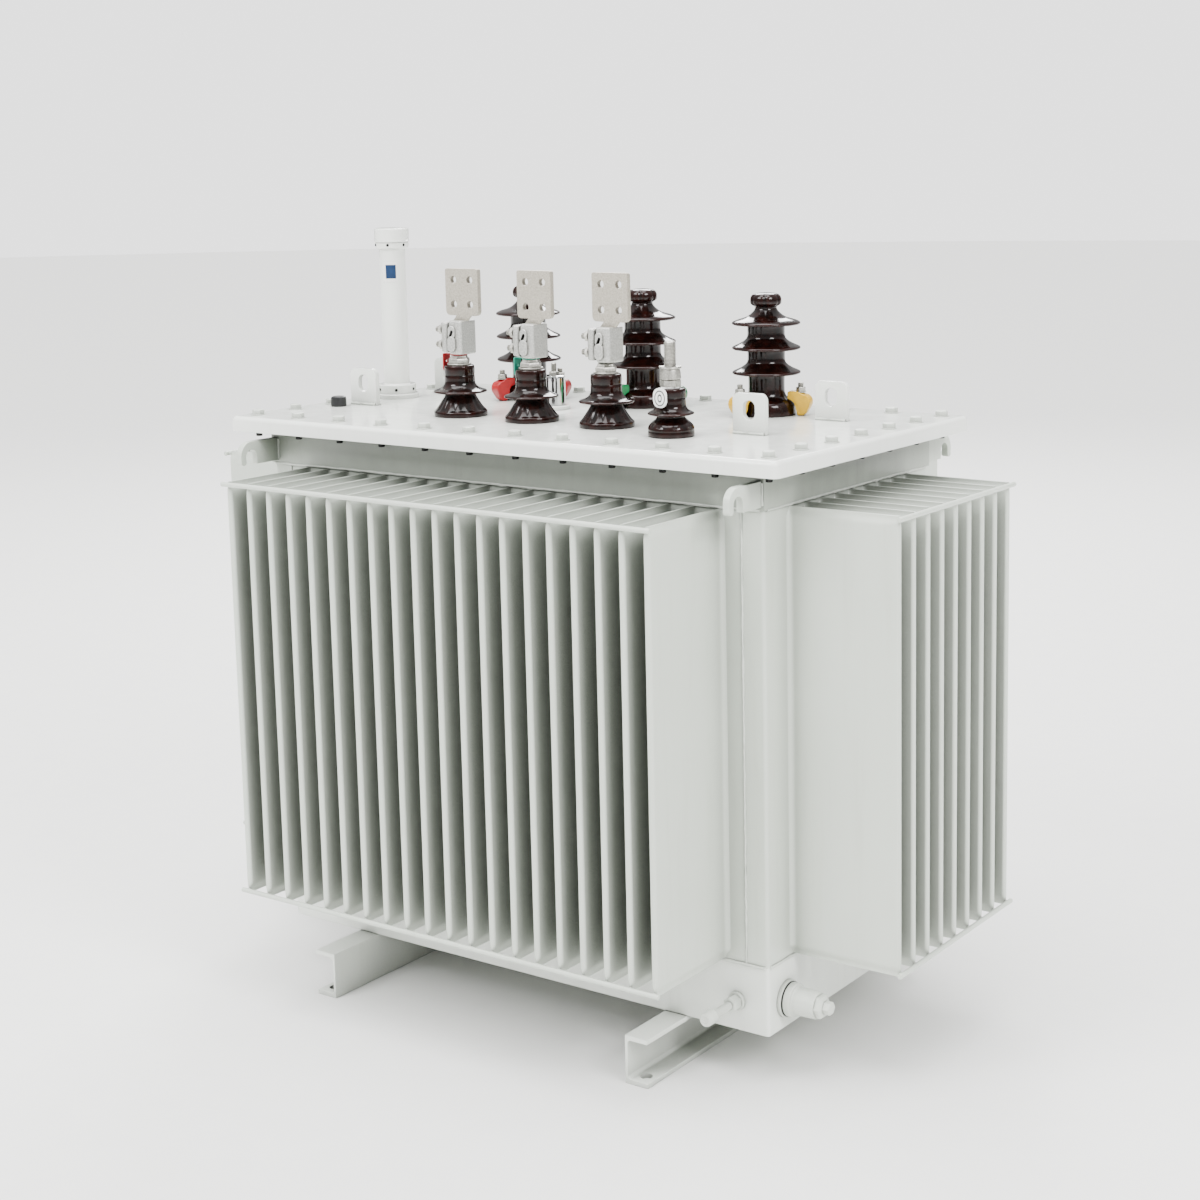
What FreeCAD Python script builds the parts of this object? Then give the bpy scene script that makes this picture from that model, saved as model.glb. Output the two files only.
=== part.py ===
"""Oil-filled distribution transformer with a corrugated tank, drawn in millimetres.

Axes: X along the tank, -Y towards the low voltage side, +Z up.
Origin: on the ground, in the middle of the base.
"""
import FreeCAD, Part
import math
import os
import re

import Sketcher

Vector = FreeCAD.Vector
Rotation = FreeCAD.Rotation

# ---------------------------------------------------------------- driving dimensions
DIMENSIONS = {
    # tank
    "tank_length": 1020, "tank_width": 510,
    "pan_bottom": 80, "pan_height": 112, "pan_wall": 4, "pan_floor": 6, "pan_corner": 6,
    "wall_height": 718, "wall_sheet": 3, "corner_wrap": 40,
    # cooling fins
    "fin_pitch": 45, "fin_thickness": 12, "fin_crimp": 18, "fin_crimp_edge": 4, "fin_end_gap": 3,
    "fin_edge_radius": 5, "front_fin_margin": 82.5, "front_fin_depth": 186,
    "side_fin_margin": 75, "side_fin_depth": 191,
    "rod_radius": 4, "rod_overhang": 11, "rod_inset": 4,
    # frame under the cover
    "curb_step": 3, "curb_wall": 6, "curb_height": 68, "flange_thickness": 8,
    # cover
    "cover_overhang_x": 55, "cover_overhang_y": 50, "cover_plate": 8, "cover_rim_height": 26,
    "cover_rim_wall": 6, "cover_corner": 12, "cover_edge": 8, "flange_clearance": 4,
    # cover bolts
    "bolts_long_side": 12, "bolts_short_side": 7, "bolt_edge_x": 35, "bolt_edge_y": 35,
    "bolt_radius": 6, "bolt_hole_clearance": 1, "bolt_head_height": 8, "bolt_head_corner": 10.9,
    "washer_radius": 12, "washer_height": 2, "nut_height": 10, "bolt_end_height": 9,
    # base channels
    "channel_height": 80, "channel_flange": 43, "channel_web": 5, "channel_flange_thickness": 8,
    "channel_overhang": 108, "channel_web_place": 311, "foot_hole_radius": 10,
    "foot_hole_inset": 24, "foot_hole_end": 23,
    # lifting lugs
    "lug_width": 62, "lug_height": 66, "lug_thickness": 10, "lug_corner": 12,
    "lug_eye_radius": 11.5, "lug_eye_low": 35, "lug_eye_high": 43,
    "left_lug_edge": 97, "left_back_lug_edge": 110, "right_lug_beyond": 114,
    "right_back_lug_beyond": 140, "left_lug_row": 38, "right_lug_row": 34,
    "left_back_lug_row": -10, "right_back_lug_row": -16,
    # lashing hooks
    "hook_reach": 87, "hook_height": 40, "hook_thickness": 12, "hook_drop": 23,
    "hook_inset": 4,
    "hook_mouth_radius": 12, "hook_tip": 12, "hook_mouth_centre": 14,
    "hook_round": 24,
    # low voltage bushings
    "lv_edge": 200, "lv_first": -208, "lv_pitch": 158, "lv_bell_radius": 46, "lv_neck_radius": 25,
    "lv_barrel_radius": 26, "lv_rim_height": 10, "lv_bell_height": 38,
    "lv_shed_gap": 4, "lv_shed_edge": 3, "lv_shed_slope": 11, "lv_height": 88,
    "lv_nut_radius": 17, "lv_nut_height": 17, "lv_stud_radius": 10, "lv_stud_length": 55,
    "stud_clearance": 0.2,
    # low voltage terminals
    "clamp_width": 46, "clamp_depth": 42, "clamp_height": 58, "clamp_slit": 3,
    "clamp_slit_place": -8, "clamp_bolt_radius": 8, "clamp_bolt_length": 15,
    "clamp_bolt_place": -12, "clamp_bolt_low": 16, "clamp_bolt_high": 42,
    "palm_width": 72, "palm_height": 80, "palm_thickness": 9, "palm_offset": 14,
    "palm_hole_radius": 6.5, "palm_hole_step_x": 36, "palm_hole_step_z": 42,
    "palm_neck_width": 30, "palm_neck_height": 8, "palm_corner": 9,
    # neutral bushing
    "neutral_beyond": 160, "neutral_forward": 43, "neutral_bell_radius": 37.5,
    "neutral_neck_radius": 22, "neutral_barrel_radius": 24, "neutral_rim_height": 15,
    "neutral_bell_height": 30, "neutral_shed_gap": 5, "neutral_shed_edge": 3,
    "neutral_shed_slope": 8, "neutral_height": 77, "neutral_nut_radius": 17,
    "neutral_nut_height": 36, "neutral_stud_radius": 9.5, "neutral_stud_height": 38,
    # high voltage bushings
    "hv_edge": 150, "hv_centre": -6, "hv_pitch": 260, "hv_base_radius": 50,
    "hv_base_height": 22, "hv_shoulder_height": 36, "hv_barrel_radius": 31,
    "hv_core_radius": 33, "hv_shed_radius": 59, "hv_shed_first": 72, "hv_shed_step": 42,
    "hv_shed_edge": 4, "hv_shed_slope": 12, "hv_neck_radius": 18, "hv_hood_height": 25,
    "hv_knob_radius": 27, "hv_knob_edge": 6, "hv_knob_side": 15,
    # high voltage clamps
    "claw_lip": 12, "claw_reach": 30, "claw_width": 22, "claw_height": 42, "claw_heel": 16,
    "claw_toe": 6, "claw_gap": 0.3, "claw_stud_radius": 5, "claw_stud_out": 11,
    "claw_stud_height": 56, "claw_nut_radius": 8.5, "claw_nut_height": 8,
    "claw_first_angle": 15, "claw_count": 3,
    # phase tags
    "tag_thickness": 2, "tag_ring_wall": 5, "tag_arm_width": 8, "tag_width": 18, "tag_drop": 29,
    "tag_reach": 28, "neutral_tag_width": 26, "neutral_tag_drop": 29, "neutral_tag_reach": 28,
    # filler tube with its level gauge
    "filler_edge": 71, "filler_base_radius": 40,
    "filler_base_height": 9, "filler_collar_radius": 35, "filler_collar_top": 26,
    "filler_tube_radius": 24, "filler_bore_radius": 21, "filler_ring_radius": 30,
    "filler_ring_low": 277, "filler_ring_high": 288, "filler_cap_radius": 32,
    "filler_cap_height": 26,
    # thermometer pocket and tap changer
    "pocket_edge": 71, "pocket_row": -4, "pocket_radius": 14, "pocket_height": 18,
    "tap_place_x": -120, "tap_before_hv": 111, "tap_flange_radius": 27, "tap_flange_height": 7,
    "tap_radius": 19.5, "tap_height": 60, "tap_stud_radius": 5, "tap_stud_height": 82,
    # valves on the pan
    "drain_edge": 52, "drain_rise": 47, "drain_disc_radius": 30,
    "drain_disc_length": 7, "drain_collar_radius": 27, "drain_collar_length": 20,
    "drain_body_radius": 22, "drain_body_length": 62, "drain_plug_radius": 11,
    "drain_length": 83,
    "sampler_edge": 58, "sampler_rise": 49, "sampler_disc_radius": 15,
    "sampler_disc_length": 6, "sampler_nut_radius": 12.5, "sampler_nut_length": 24,
    "sampler_stem_radius": 6.5, "sampler_stem_length": 70, "sampler_knob_radius": 11,
    "sampler_length": 91,
}
# heights and places worked out from the dimensions above
DERIVED = {
    "wall_bottom": "=pan_bottom + pan_height",
    "wall_top": "=wall_bottom + wall_height",
    "curb_top": "=wall_top + curb_height",
    "flange_top": "=curb_top + flange_thickness",
    "cover_top": "=flange_top + cover_plate",
    "cover_length": "=tank_length + 2 * cover_overhang_x",
    "cover_width": "=tank_width + 2 * cover_overhang_y",
    "channel_length": "=tank_width + 2 * channel_overhang",
    "rim_bottom": "=cover_top - cover_rim_height",
    "flange_length": "=cover_length - 2 * cover_rim_wall - 2 * flange_clearance",
    "flange_width": "=cover_width - 2 * cover_rim_wall - 2 * flange_clearance",
    "front_fin_count": "=floor((tank_length - 2 * front_fin_margin) / fin_pitch) + 1",
    "side_fin_count": "=floor((tank_width - 2 * side_fin_margin) / fin_pitch) + 1",
    "fin_bottom": "=wall_bottom + fin_end_gap",
    "fin_top": "=wall_top - fin_end_gap",
    "front_face": "=tank_width / 2",
    "side_face": "=tank_length / 2",
    "seam_place": "=tank_length / 2 - corner_wrap",
    "foot_hole_x": "=channel_web_place + foot_hole_inset",
    "foot_hole_y": "=channel_length / 2 - foot_hole_end",
    "clamp_bottom": "=lv_height + lv_nut_height + tag_thickness",
    "palm_bottom": "=clamp_bottom + clamp_height + palm_neck_height",
    "filler_top": "=filler_ring_high + filler_cap_height",
    "bolt_place_x": "=cover_length / 2 - bolt_edge_x",
    "bolt_place_y": "=cover_width / 2 - bolt_edge_y",
    "hook_top": "=curb_top - hook_drop",
    "lv_row": "=lv_edge - cover_width / 2",
    "lv_last": "=lv_first + 2 * lv_pitch",
    "lv_shed_low": "=lv_bell_height + lv_shed_gap",
    "lv_shed_high": "=lv_shed_low + lv_shed_edge",
    "lv_shed_top": "=lv_shed_high + lv_shed_slope",
    "neutral_place_x": "=lv_last + neutral_beyond",
    "neutral_place_y": "=lv_row - neutral_forward",
    "neutral_shed_low": "=neutral_bell_height + neutral_shed_gap",
    "neutral_shed_high": "=neutral_shed_low + neutral_shed_edge",
    "neutral_shed_top": "=neutral_shed_high + neutral_shed_slope",
    "hv_row": "=cover_width / 2 - hv_edge",
    "hv_first": "=hv_centre - hv_pitch",
    "hv_last": "=hv_centre + hv_pitch",
    "hv_neck_height": "=hv_shed_first + 2 * hv_shed_step + hv_hood_height",
    "hv_knob_low": "=hv_neck_height + hv_knob_edge",
    "hv_knob_high": "=hv_knob_low + hv_knob_side",
    "hv_height": "=hv_knob_high + hv_knob_edge",
    "filler_place_x": "=filler_edge - cover_length / 2",
    "filler_place_y": "=bolt_place_y / (bolts_short_side - 1)",
    "pocket_place_x": "=pocket_edge - cover_length / 2",
    "pocket_place_y": "=lv_row + pocket_row",
    "tap_place_y": "=hv_row - tap_before_hv",
    "drain_place_y": "=drain_edge - tank_width / 2",
    "drain_place_z": "=pan_bottom + drain_rise",
    "sampler_place_x": "=tank_length / 2 - sampler_edge",
    "sampler_place_z": "=pan_bottom + sampler_rise",
}
MIRRORED = (-1, 1)

doc = FreeCAD.newDocument("power_transformer")
sheet = doc.addObject("Spreadsheet::Sheet", "dims")
for row, (alias, number) in enumerate({**DIMENSIONS, **DERIVED}.items(), start=1):
    sheet.set(f"A{row}", alias)
    sheet.set(f"B{row}", str(number))
    sheet.setAlias(f"B{row}", alias)
doc.recompute()

finished = []


# ---------------------------------------------------------------- helpers
def on_sheet(formula):
    """A formula over the aliases, written so that an object's property can hold it."""
    return re.sub(r"[a-z]+(_[a-z]+)+", lambda found: "dims." + found.group(), str(formula))


def size(formula):
    """The formula's value now."""
    return float(sheet.evalExpression(on_sheet(formula)))


def bind(item, **formulas):
    """Tie properties of an object to the sheet; a double underscore stands for a dot."""
    for name, formula in formulas.items():
        item.setExpression(name.replace("__", "."), on_sheet(formula))


def place(item, x=0, y=0, z=0, turn=None):
    """Put an object at a point of the sheet, turned first if a rotation is given."""
    if turn is not None:
        item.Placement = FreeCAD.Placement(Vector(), turn)
    bind(item, Placement__Base__x=x, Placement__Base__y=y, Placement__Base__z=z)


def finish(item, name):
    """Name a sub-part and list it for export."""
    item.Label = name
    finished.append(item)
    return item


def new_body(name):
    return doc.addObject("PartDesign::Body", name)


def new_sketch(body, plane, start=0):
    """A sketch on one of the body's own planes, moved along that plane's normal."""
    sketch = body.newObject("Sketcher::SketchObject", body.Name + "_sketch")
    support = [item for item in body.Origin.OriginFeatures if item.Role == plane + "_Plane"]
    sketch.AttachmentSupport = [(support[0], "")]
    sketch.MapMode = "FlatFace"
    bind(sketch, AttachmentOffset__Base__z=start)
    return sketch


def hold(sketch, kind, geometry, point, formula):
    """Hold one coordinate of a sketch point at a formula's value."""
    if str(formula) == "0":
        axis = -2 if kind == "DistanceX" else -1
        sketch.addConstraint(Sketcher.Constraint("PointOnObject", geometry, point, axis))
        return
    limit = Sketcher.Constraint(kind, -1, 1, geometry, point, size(formula))
    index = sketch.addConstraint(limit)
    sketch.setExpression(f"Constraints[{index}]", on_sheet(formula))


def polygon(sketch, corners):
    """A closed outline whose corners are formulas."""
    first = sketch.GeometryCount
    points = [Vector(size(x), size(y), 0) for x, y in corners]
    for start, end in zip(points, points[1:] + points[:1]):
        sketch.addGeometry(Part.LineSegment(start, end))
    for index, (x, y) in enumerate(corners):
        before = first + (index - 1) % len(corners)
        sketch.addConstraint(Sketcher.Constraint("Coincident", before, 2, first + index, 1))
        hold(sketch, "DistanceX", first + index, 1, x)
        hold(sketch, "DistanceY", first + index, 1, y)


def rectangle(sketch, left, bottom, right, top):
    polygon(sketch, [(left, bottom), (right, bottom), (right, top), (left, top)])


def circle(sketch, x, y, radius):
    index = sketch.GeometryCount
    centre = Vector(size(x), size(y), 0)
    sketch.addGeometry(Part.Circle(centre, Vector(0, 0, 1), size(radius)))
    hold(sketch, "DistanceX", index, 3, x)
    hold(sketch, "DistanceY", index, 3, y)
    limit = sketch.addConstraint(Sketcher.Constraint("Radius", index, size(radius)))
    sketch.setExpression(f"Constraints[{limit}]", on_sheet(radius))


def pad(body, sketch, length):
    feature = body.newObject("PartDesign::Pad", body.Name + "_pad")
    feature.Profile = sketch
    bind(feature, Length=length)
    doc.recompute()
    return feature


def pocket(body, sketch, length, upward=False):
    """Cut against the sketch's normal, or along it; a cut that takes nothing is an error."""
    volume = body.Shape.Volume
    feature = body.newObject("PartDesign::Pocket", body.Name + "_pocket")
    feature.Profile = sketch
    feature.Reversed = upward
    bind(feature, Length=length)
    doc.recompute()
    if body.Shape.Volume >= volume:
        raise RuntimeError(f"{body.Name}: a pocket cuts nothing")
    return feature


def fillet(body, base, radius, wanted):
    """Round the edges of a feature that a test picks."""
    edges = [f"Edge{number}" for number, edge in enumerate(base.Shape.Edges, 1) if wanted(edge)]
    feature = body.newObject("PartDesign::Fillet", body.Name + "_fillet")
    feature.Base = (base, edges)
    bind(feature, Radius=radius)
    doc.recompute()
    return feature


def upright(edge):
    """True for a straight vertical edge."""
    ends = [corner.Point for corner in edge.Vertexes]
    return len(ends) == 2 and (ends[0] - ends[1]).cross(Vector(0, 0, 1)).Length < 0.01


def turned(name, profile):
    """A body turned about Z from (radius, height) formulas."""
    body = new_body(name)
    sketch = new_sketch(body, "XZ")
    polygon(sketch, profile)
    feature = body.newObject("PartDesign::Revolution", name + "_revolution")
    feature.Profile = sketch
    feature.ReferenceAxis = (sketch, ["V_Axis"])
    feature.Angle = 360
    return body


def stepped(steps):
    """Profile of a solid stack of cylinders from (radius, top height) steps."""
    profile = [("0", "0")]
    below = "0"
    for radius, top in steps:
        profile += [(radius, below), (radius, top)]
        below = top
    return profile + [("0", below)]


def compound(name, pieces):
    """One sub-part of like pieces that do not touch."""
    group = doc.addObject("Part::Compound", name)
    group.Links = pieces
    return finish(group, name)


# ---------------------------------------------------------------- base
def base_channel(name, side):
    """Rolled U channel across the tank, web inwards, with a foot hole at each end."""
    body = new_body(name)
    web, tip = "channel_web_place", "channel_web_place + channel_flange"
    inner = "channel_web_place + channel_web"
    upper = "channel_height - channel_flange_thickness"
    sketch = new_sketch(body, "XZ", "-channel_length / 2")
    polygon(sketch, [
        (web, "0"), (tip, "0"), (tip, "channel_flange_thickness"),
        (inner, "channel_flange_thickness"), (inner, upper), (tip, upper),
        (tip, "channel_height"), (web, "channel_height")])
    pad(body, sketch, "channel_length")
    holes = new_sketch(body, "XY", "channel_flange_thickness")
    for end in MIRRORED:
        circle(holes, "foot_hole_x", f"{end} * foot_hole_y", "foot_hole_radius")
    pocket(body, holes, "channel_flange_thickness")
    if side < 0:
        place(body, turn=Rotation(Vector(0, 0, 1), 180))
    return finish(body, name)


def bottom_pan():
    """Open tray that closes the tank below the corrugated walls."""
    body = new_body("bottom_pan")
    sketch = new_sketch(body, "XY", "pan_bottom")
    rectangle(sketch, "-side_face", "-front_face", "side_face", "front_face")
    block = pad(body, sketch, "pan_height")
    fillet(body, block, "pan_corner", upright)
    inside = new_sketch(body, "XY", "wall_bottom")
    rectangle(inside, "-side_face + pan_wall", "-front_face + pan_wall",
              "side_face - pan_wall", "front_face - pan_wall")
    pocket(body, inside, "pan_height - pan_floor")
    return finish(body, "bottom_pan")


# ---------------------------------------------------------------- corrugated walls
def corrugated_wall(name, turn, sheet_outline, face, count, depth):
    """Wall sheet with hollow cooling fins, drawn facing -Y and then turned about Z."""
    body = new_body(name)
    sketch = new_sketch(body, "XY", "wall_bottom")
    polygon(sketch, sheet_outline)
    pad(body, sketch, "wall_height")
    middle = f"-({count} - 1) * fin_pitch / 2"
    fin = new_sketch(body, "XZ", face)
    thick, thin = "fin_thickness / 2", "fin_crimp_edge / 2"
    polygon(fin, [
        (f"{middle} - {thin}", "fin_bottom"), (f"{middle} + {thin}", "fin_bottom"),
        (f"{middle} + {thick}", "fin_bottom + fin_crimp"),
        (f"{middle} + {thick}", "fin_top - fin_crimp"),
        (f"{middle} + {thin}", "fin_top"), (f"{middle} - {thin}", "fin_top"),
        (f"{middle} - {thick}", "fin_top - fin_crimp"),
        (f"{middle} - {thick}", "fin_bottom + fin_crimp")])
    first_fin = pad(body, fin, depth)
    fins = body.newObject("PartDesign::LinearPattern", name + "_fins")
    fins.Originals = [first_fin]
    fins.Direction = (fin, ["H_Axis"])
    bind(fins, Length=f"({count} - 1) * fin_pitch", Occurrences=count)
    body.Tip = fins
    doc.recompute()
    tip_line = -size(f"{face} + {depth}")
    fillet(body, fins, "fin_edge_radius",
           lambda edge: upright(edge) and abs(edge.Vertexes[0].Y - tip_line) < 0.01)
    place(body, turn=Rotation(Vector(0, 0, 1), turn))
    return finish(body, name)


def plain_sheet():
    """Outline of a long wall's sheet, which stops at the corner seams."""
    back = "-front_face + wall_sheet"
    return [("-seam_place", "-front_face"), ("seam_place", "-front_face"),
            ("seam_place", back), ("-seam_place", back)]


def wrapped_sheet():
    """Outline of an end wall's sheet, which runs round both corners to the seams."""
    outside, inside = "front_face", "front_face - wall_sheet"
    face, back = "-side_face", "-side_face + wall_sheet"
    return [(f"-{outside}", face), (outside, face), (outside, "-seam_place"),
            (inside, "-seam_place"), (inside, back), (f"-({inside})", back),
            (f"-({inside})", "-seam_place"), (f"-{outside}", "-seam_place")]


def fin_rods(name, turn, count, reach):
    """Two round stiffening rods across the tips of a row of fins."""
    rods = []
    for level, height in (("low", "fin_bottom + rod_inset"), ("high", "fin_top - rod_inset")):
        rod = doc.addObject("Part::Cylinder", f"{name}_{level}")
        span = f"(({count} - 1) * fin_pitch + 2 * rod_overhang)"
        bind(rod, Radius="rod_radius", Height=span)
        rod.Placement = FreeCAD.Placement(Vector(), Rotation(Vector(0, 1, 0), 90))
        out = f"{reach} + rod_radius"
        if turn == 0:
            place(rod, f"-{span} / 2", f"-({out})", height)
        elif turn == 180:
            place(rod, f"-{span} / 2", out, height)
        else:
            sign = "" if turn == 90 else "-"
            place(rod, f"{sign}({out})", f"-{span} / 2", height,
                  Rotation(Vector(1, 0, 0), -90))
        rods.append(rod)
    return compound(name, rods)


# ---------------------------------------------------------------- frame and cover
def bolt_places():
    """Formulas for the bolt centres: evenly spaced rows that share the corner bolts."""
    along, across = int(size("bolts_long_side")), int(size("bolts_short_side"))
    centres = []
    for number in range(along):
        share = f"({2 * number} / ({along} - 1) - 1)"
        centres += [(f"{share} * bolt_place_x", f"{side} * bolt_place_y") for side in MIRRORED]
    for number in range(1, across - 1):
        share = f"({2 * number} / ({across} - 1) - 1)"
        centres += [(f"{side} * bolt_place_x", f"{share} * bolt_place_y") for side in MIRRORED]
    return centres


def drill_bolt_holes(body, top, depth):
    sketch = new_sketch(body, "XY", top)
    for x, y in bolt_places():
        circle(sketch, x, y, "bolt_radius + bolt_hole_clearance")
    pocket(body, sketch, depth)


def ring(body, bottom, height, outer, inner):
    """Pad a rectangular ring between two half sizes, each given as (x, y) formulas."""
    sketch = new_sketch(body, "XY", bottom)
    for half_x, half_y in (outer, inner):
        rectangle(sketch, f"-({half_x})", f"-({half_y})", half_x, half_y)
    return pad(body, sketch, height)


def top_frame():
    """Upright curb on top of the walls with the flange that takes the cover."""
    body = new_body("top_frame")
    outer = ("side_face + curb_step", "front_face + curb_step")
    inner = ("side_face + curb_step - curb_wall", "front_face + curb_step - curb_wall")
    ring(body, "wall_top", "curb_height", outer, inner)
    ring(body, "curb_top", "flange_thickness", ("flange_length / 2", "flange_width / 2"), inner)
    drill_bolt_holes(body, "flange_top", "flange_thickness")
    return finish(body, "top_frame")


def cover():
    """Flat plate with a folded rim, rounded along its top edge."""
    body = new_body("cover")
    half_x, half_y = "cover_length / 2", "cover_width / 2"
    sketch = new_sketch(body, "XY", "rim_bottom")
    rectangle(sketch, f"-{half_x}", f"-{half_y}", half_x, half_y)
    block = pad(body, sketch, "cover_rim_height")
    corners = fillet(body, block, "cover_corner", upright)
    top = size("cover_top")
    fillet(body, corners, "cover_edge",
           lambda edge: all(abs(corner.Z - top) < 0.01 for corner in edge.Vertexes))
    inside = new_sketch(body, "XY", "rim_bottom")
    rectangle(inside, f"-{half_x} + cover_rim_wall", f"-{half_y} + cover_rim_wall",
              f"{half_x} - cover_rim_wall", f"{half_y} - cover_rim_wall")
    pocket(body, inside, "cover_rim_height - cover_plate", upward=True)
    drill_bolt_holes(body, "cover_top", "cover_plate")
    return finish(body, "cover")


def hexagon(corner, height, bottom):
    """Hexagonal prism on the Z axis."""
    points = [Vector(corner * math.cos(math.radians(60 * k)),
                     corner * math.sin(math.radians(60 * k)), bottom) for k in range(7)]
    return Part.Face(Part.makePolygon(points)).extrude(Vector(0, 0, height))


def cover_bolts():
    """Hexagon bolts with washers and nuts, one through each hole of cover and flange."""
    top, under = size("cover_top"), size("curb_top")
    washer, head = size("washer_height"), size("bolt_head_height")
    corner, nut = size("bolt_head_corner"), size("nut_height")
    end = under - washer - size("bolt_end_height") - nut
    bolt = Part.makeCylinder(size("bolt_radius"), top + washer - end, Vector(0, 0, end))
    parts = [
        Part.makeCylinder(size("washer_radius"), washer, Vector(0, 0, top)),
        hexagon(corner, head, top + washer),
        Part.makeCylinder(size("washer_radius"), washer, Vector(0, 0, under - washer)),
        hexagon(corner, nut, under - washer - nut)]
    bolt = bolt.multiFuse(parts).removeSplitter()
    bolts = []
    for x, y in bolt_places():
        copy = bolt.copy()
        copy.translate(Vector(size(x), size(y), 0))
        bolts.append(copy)
    feature = doc.addObject("Part::Feature", "cover_bolts")
    feature.Shape = Part.makeCompound(bolts)
    return finish(feature, "cover_bolts")


def lifting_lug(name, x, y):
    """Plate welded upright on the cover, with an upright slotted eye."""
    body = new_body(name)
    half, wide = "lug_thickness / 2", "lug_width / 2"
    sketch = new_sketch(body, "XZ", f"-{half}")
    rectangle(sketch, f"-{wide}", "0", wide, "lug_height")
    plate = pad(body, sketch, "lug_thickness")
    top = size("lug_height")
    fillet(body, plate, "lug_corner", lambda edge: all(
        abs(corner.Z - top) < 0.01 for corner in edge.Vertexes) and abs(
        edge.Vertexes[0].Y - edge.Vertexes[-1].Y) > 0.01)
    for height in ("lug_eye_low", "lug_eye_high"):
        eye = new_sketch(body, "XZ", half)
        circle(eye, "0", height, "lug_eye_radius")
        pocket(body, eye, "lug_thickness")
    slot = new_sketch(body, "XZ", half)
    rectangle(slot, "-lug_eye_radius", "lug_eye_low", "lug_eye_radius", "lug_eye_high")
    pocket(body, slot, "lug_thickness")
    place(body, x, y, "cover_top")
    return finish(body, name)


def lashing_hook(name, side_x, side_y):
    """Plate on a corner of the curb that ends in a hook open downwards."""
    body = new_body(name)
    sketch = new_sketch(body, "YZ", "-hook_thickness / 2")
    rectangle(sketch, "-hook_reach", "0", "0", "hook_height")
    plate = pad(body, sketch, "hook_thickness")
    reach, top = size("hook_reach"), size("hook_height")
    fillet(body, plate, "hook_round", lambda edge: all(
        abs(corner.Y + reach) + abs(corner.Z - top) < 0.01 for corner in edge.Vertexes))
    centre = "-hook_reach + hook_tip + hook_mouth_radius"
    mouth = new_sketch(body, "YZ", "hook_thickness / 2")
    circle(mouth, centre, "hook_mouth_centre", "hook_mouth_radius")
    pocket(body, mouth, "hook_thickness")
    gate = new_sketch(body, "YZ", "hook_thickness / 2")
    rectangle(gate, f"{centre} - hook_mouth_radius", "0",
              f"{centre} + hook_mouth_radius", "hook_mouth_centre")
    pocket(body, gate, "hook_thickness")
    turn = Rotation(Vector(0, 0, 1), 0 if side_y < 0 else 180)
    place(body, f"{side_x} * (side_face + curb_step - hook_thickness / 2 - hook_inset)",
          f"{side_y} * (front_face + curb_step)", "hook_top - hook_height", turn)
    return finish(body, name)


# ---------------------------------------------------------------- low voltage side
LV_PHASES = ("a", "b", "c")


def lv_place(number):
    return f"lv_first + {number} * lv_pitch", "lv_row", "cover_top"


def lv_porcelain(name, number):
    """Ribbed bell, one thin shed and a plain barrel."""
    body = turned(name, [
        ("0", "0"), ("lv_bell_radius", "0"), ("lv_bell_radius", "lv_rim_height"),
        ("lv_neck_radius", "lv_bell_height"), ("lv_bell_radius", "lv_shed_low"),
        ("lv_bell_radius", "lv_shed_high"), ("lv_barrel_radius", "lv_shed_top"),
        ("lv_barrel_radius", "lv_height"), ("0", "lv_height")])
    place(body, *lv_place(number))
    return finish(body, name)


def neutral_porcelain():
    body = turned("neutral_porcelain", [
        ("0", "0"), ("neutral_bell_radius", "0"), ("neutral_bell_radius", "neutral_rim_height"),
        ("neutral_neck_radius", "neutral_bell_height"),
        ("neutral_bell_radius", "neutral_shed_low"), ("neutral_bell_radius", "neutral_shed_high"),
        ("neutral_barrel_radius", "neutral_shed_top"),
        ("neutral_barrel_radius", "neutral_height"), ("0", "neutral_height")])
    place(body, "neutral_place_x", "neutral_place_y", "cover_top")
    return finish(body, "neutral_porcelain")


def bushing_studs():
    """Nut and threaded stud on each low voltage bushing and on the neutral one."""
    studs = []
    for number, phase in enumerate(LV_PHASES):
        stud = turned(f"lv_stud_{phase}", stepped([
            ("lv_nut_radius", "lv_nut_height"),
            ("lv_stud_radius", "lv_nut_height + tag_thickness + lv_stud_length")]))
        x, y, base = lv_place(number)
        place(stud, x, y, f"{base} + lv_height")
        studs.append(stud)
    neutral = turned("neutral_stud", stepped([
        ("neutral_nut_radius", "neutral_nut_height - tag_thickness"),
        ("neutral_stud_radius", "neutral_nut_height + neutral_stud_height - tag_thickness")]))
    place(neutral, "neutral_place_x", "neutral_place_y",
          "cover_top + neutral_height + tag_thickness")
    return compound("bushing_studs", studs + [neutral])


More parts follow.
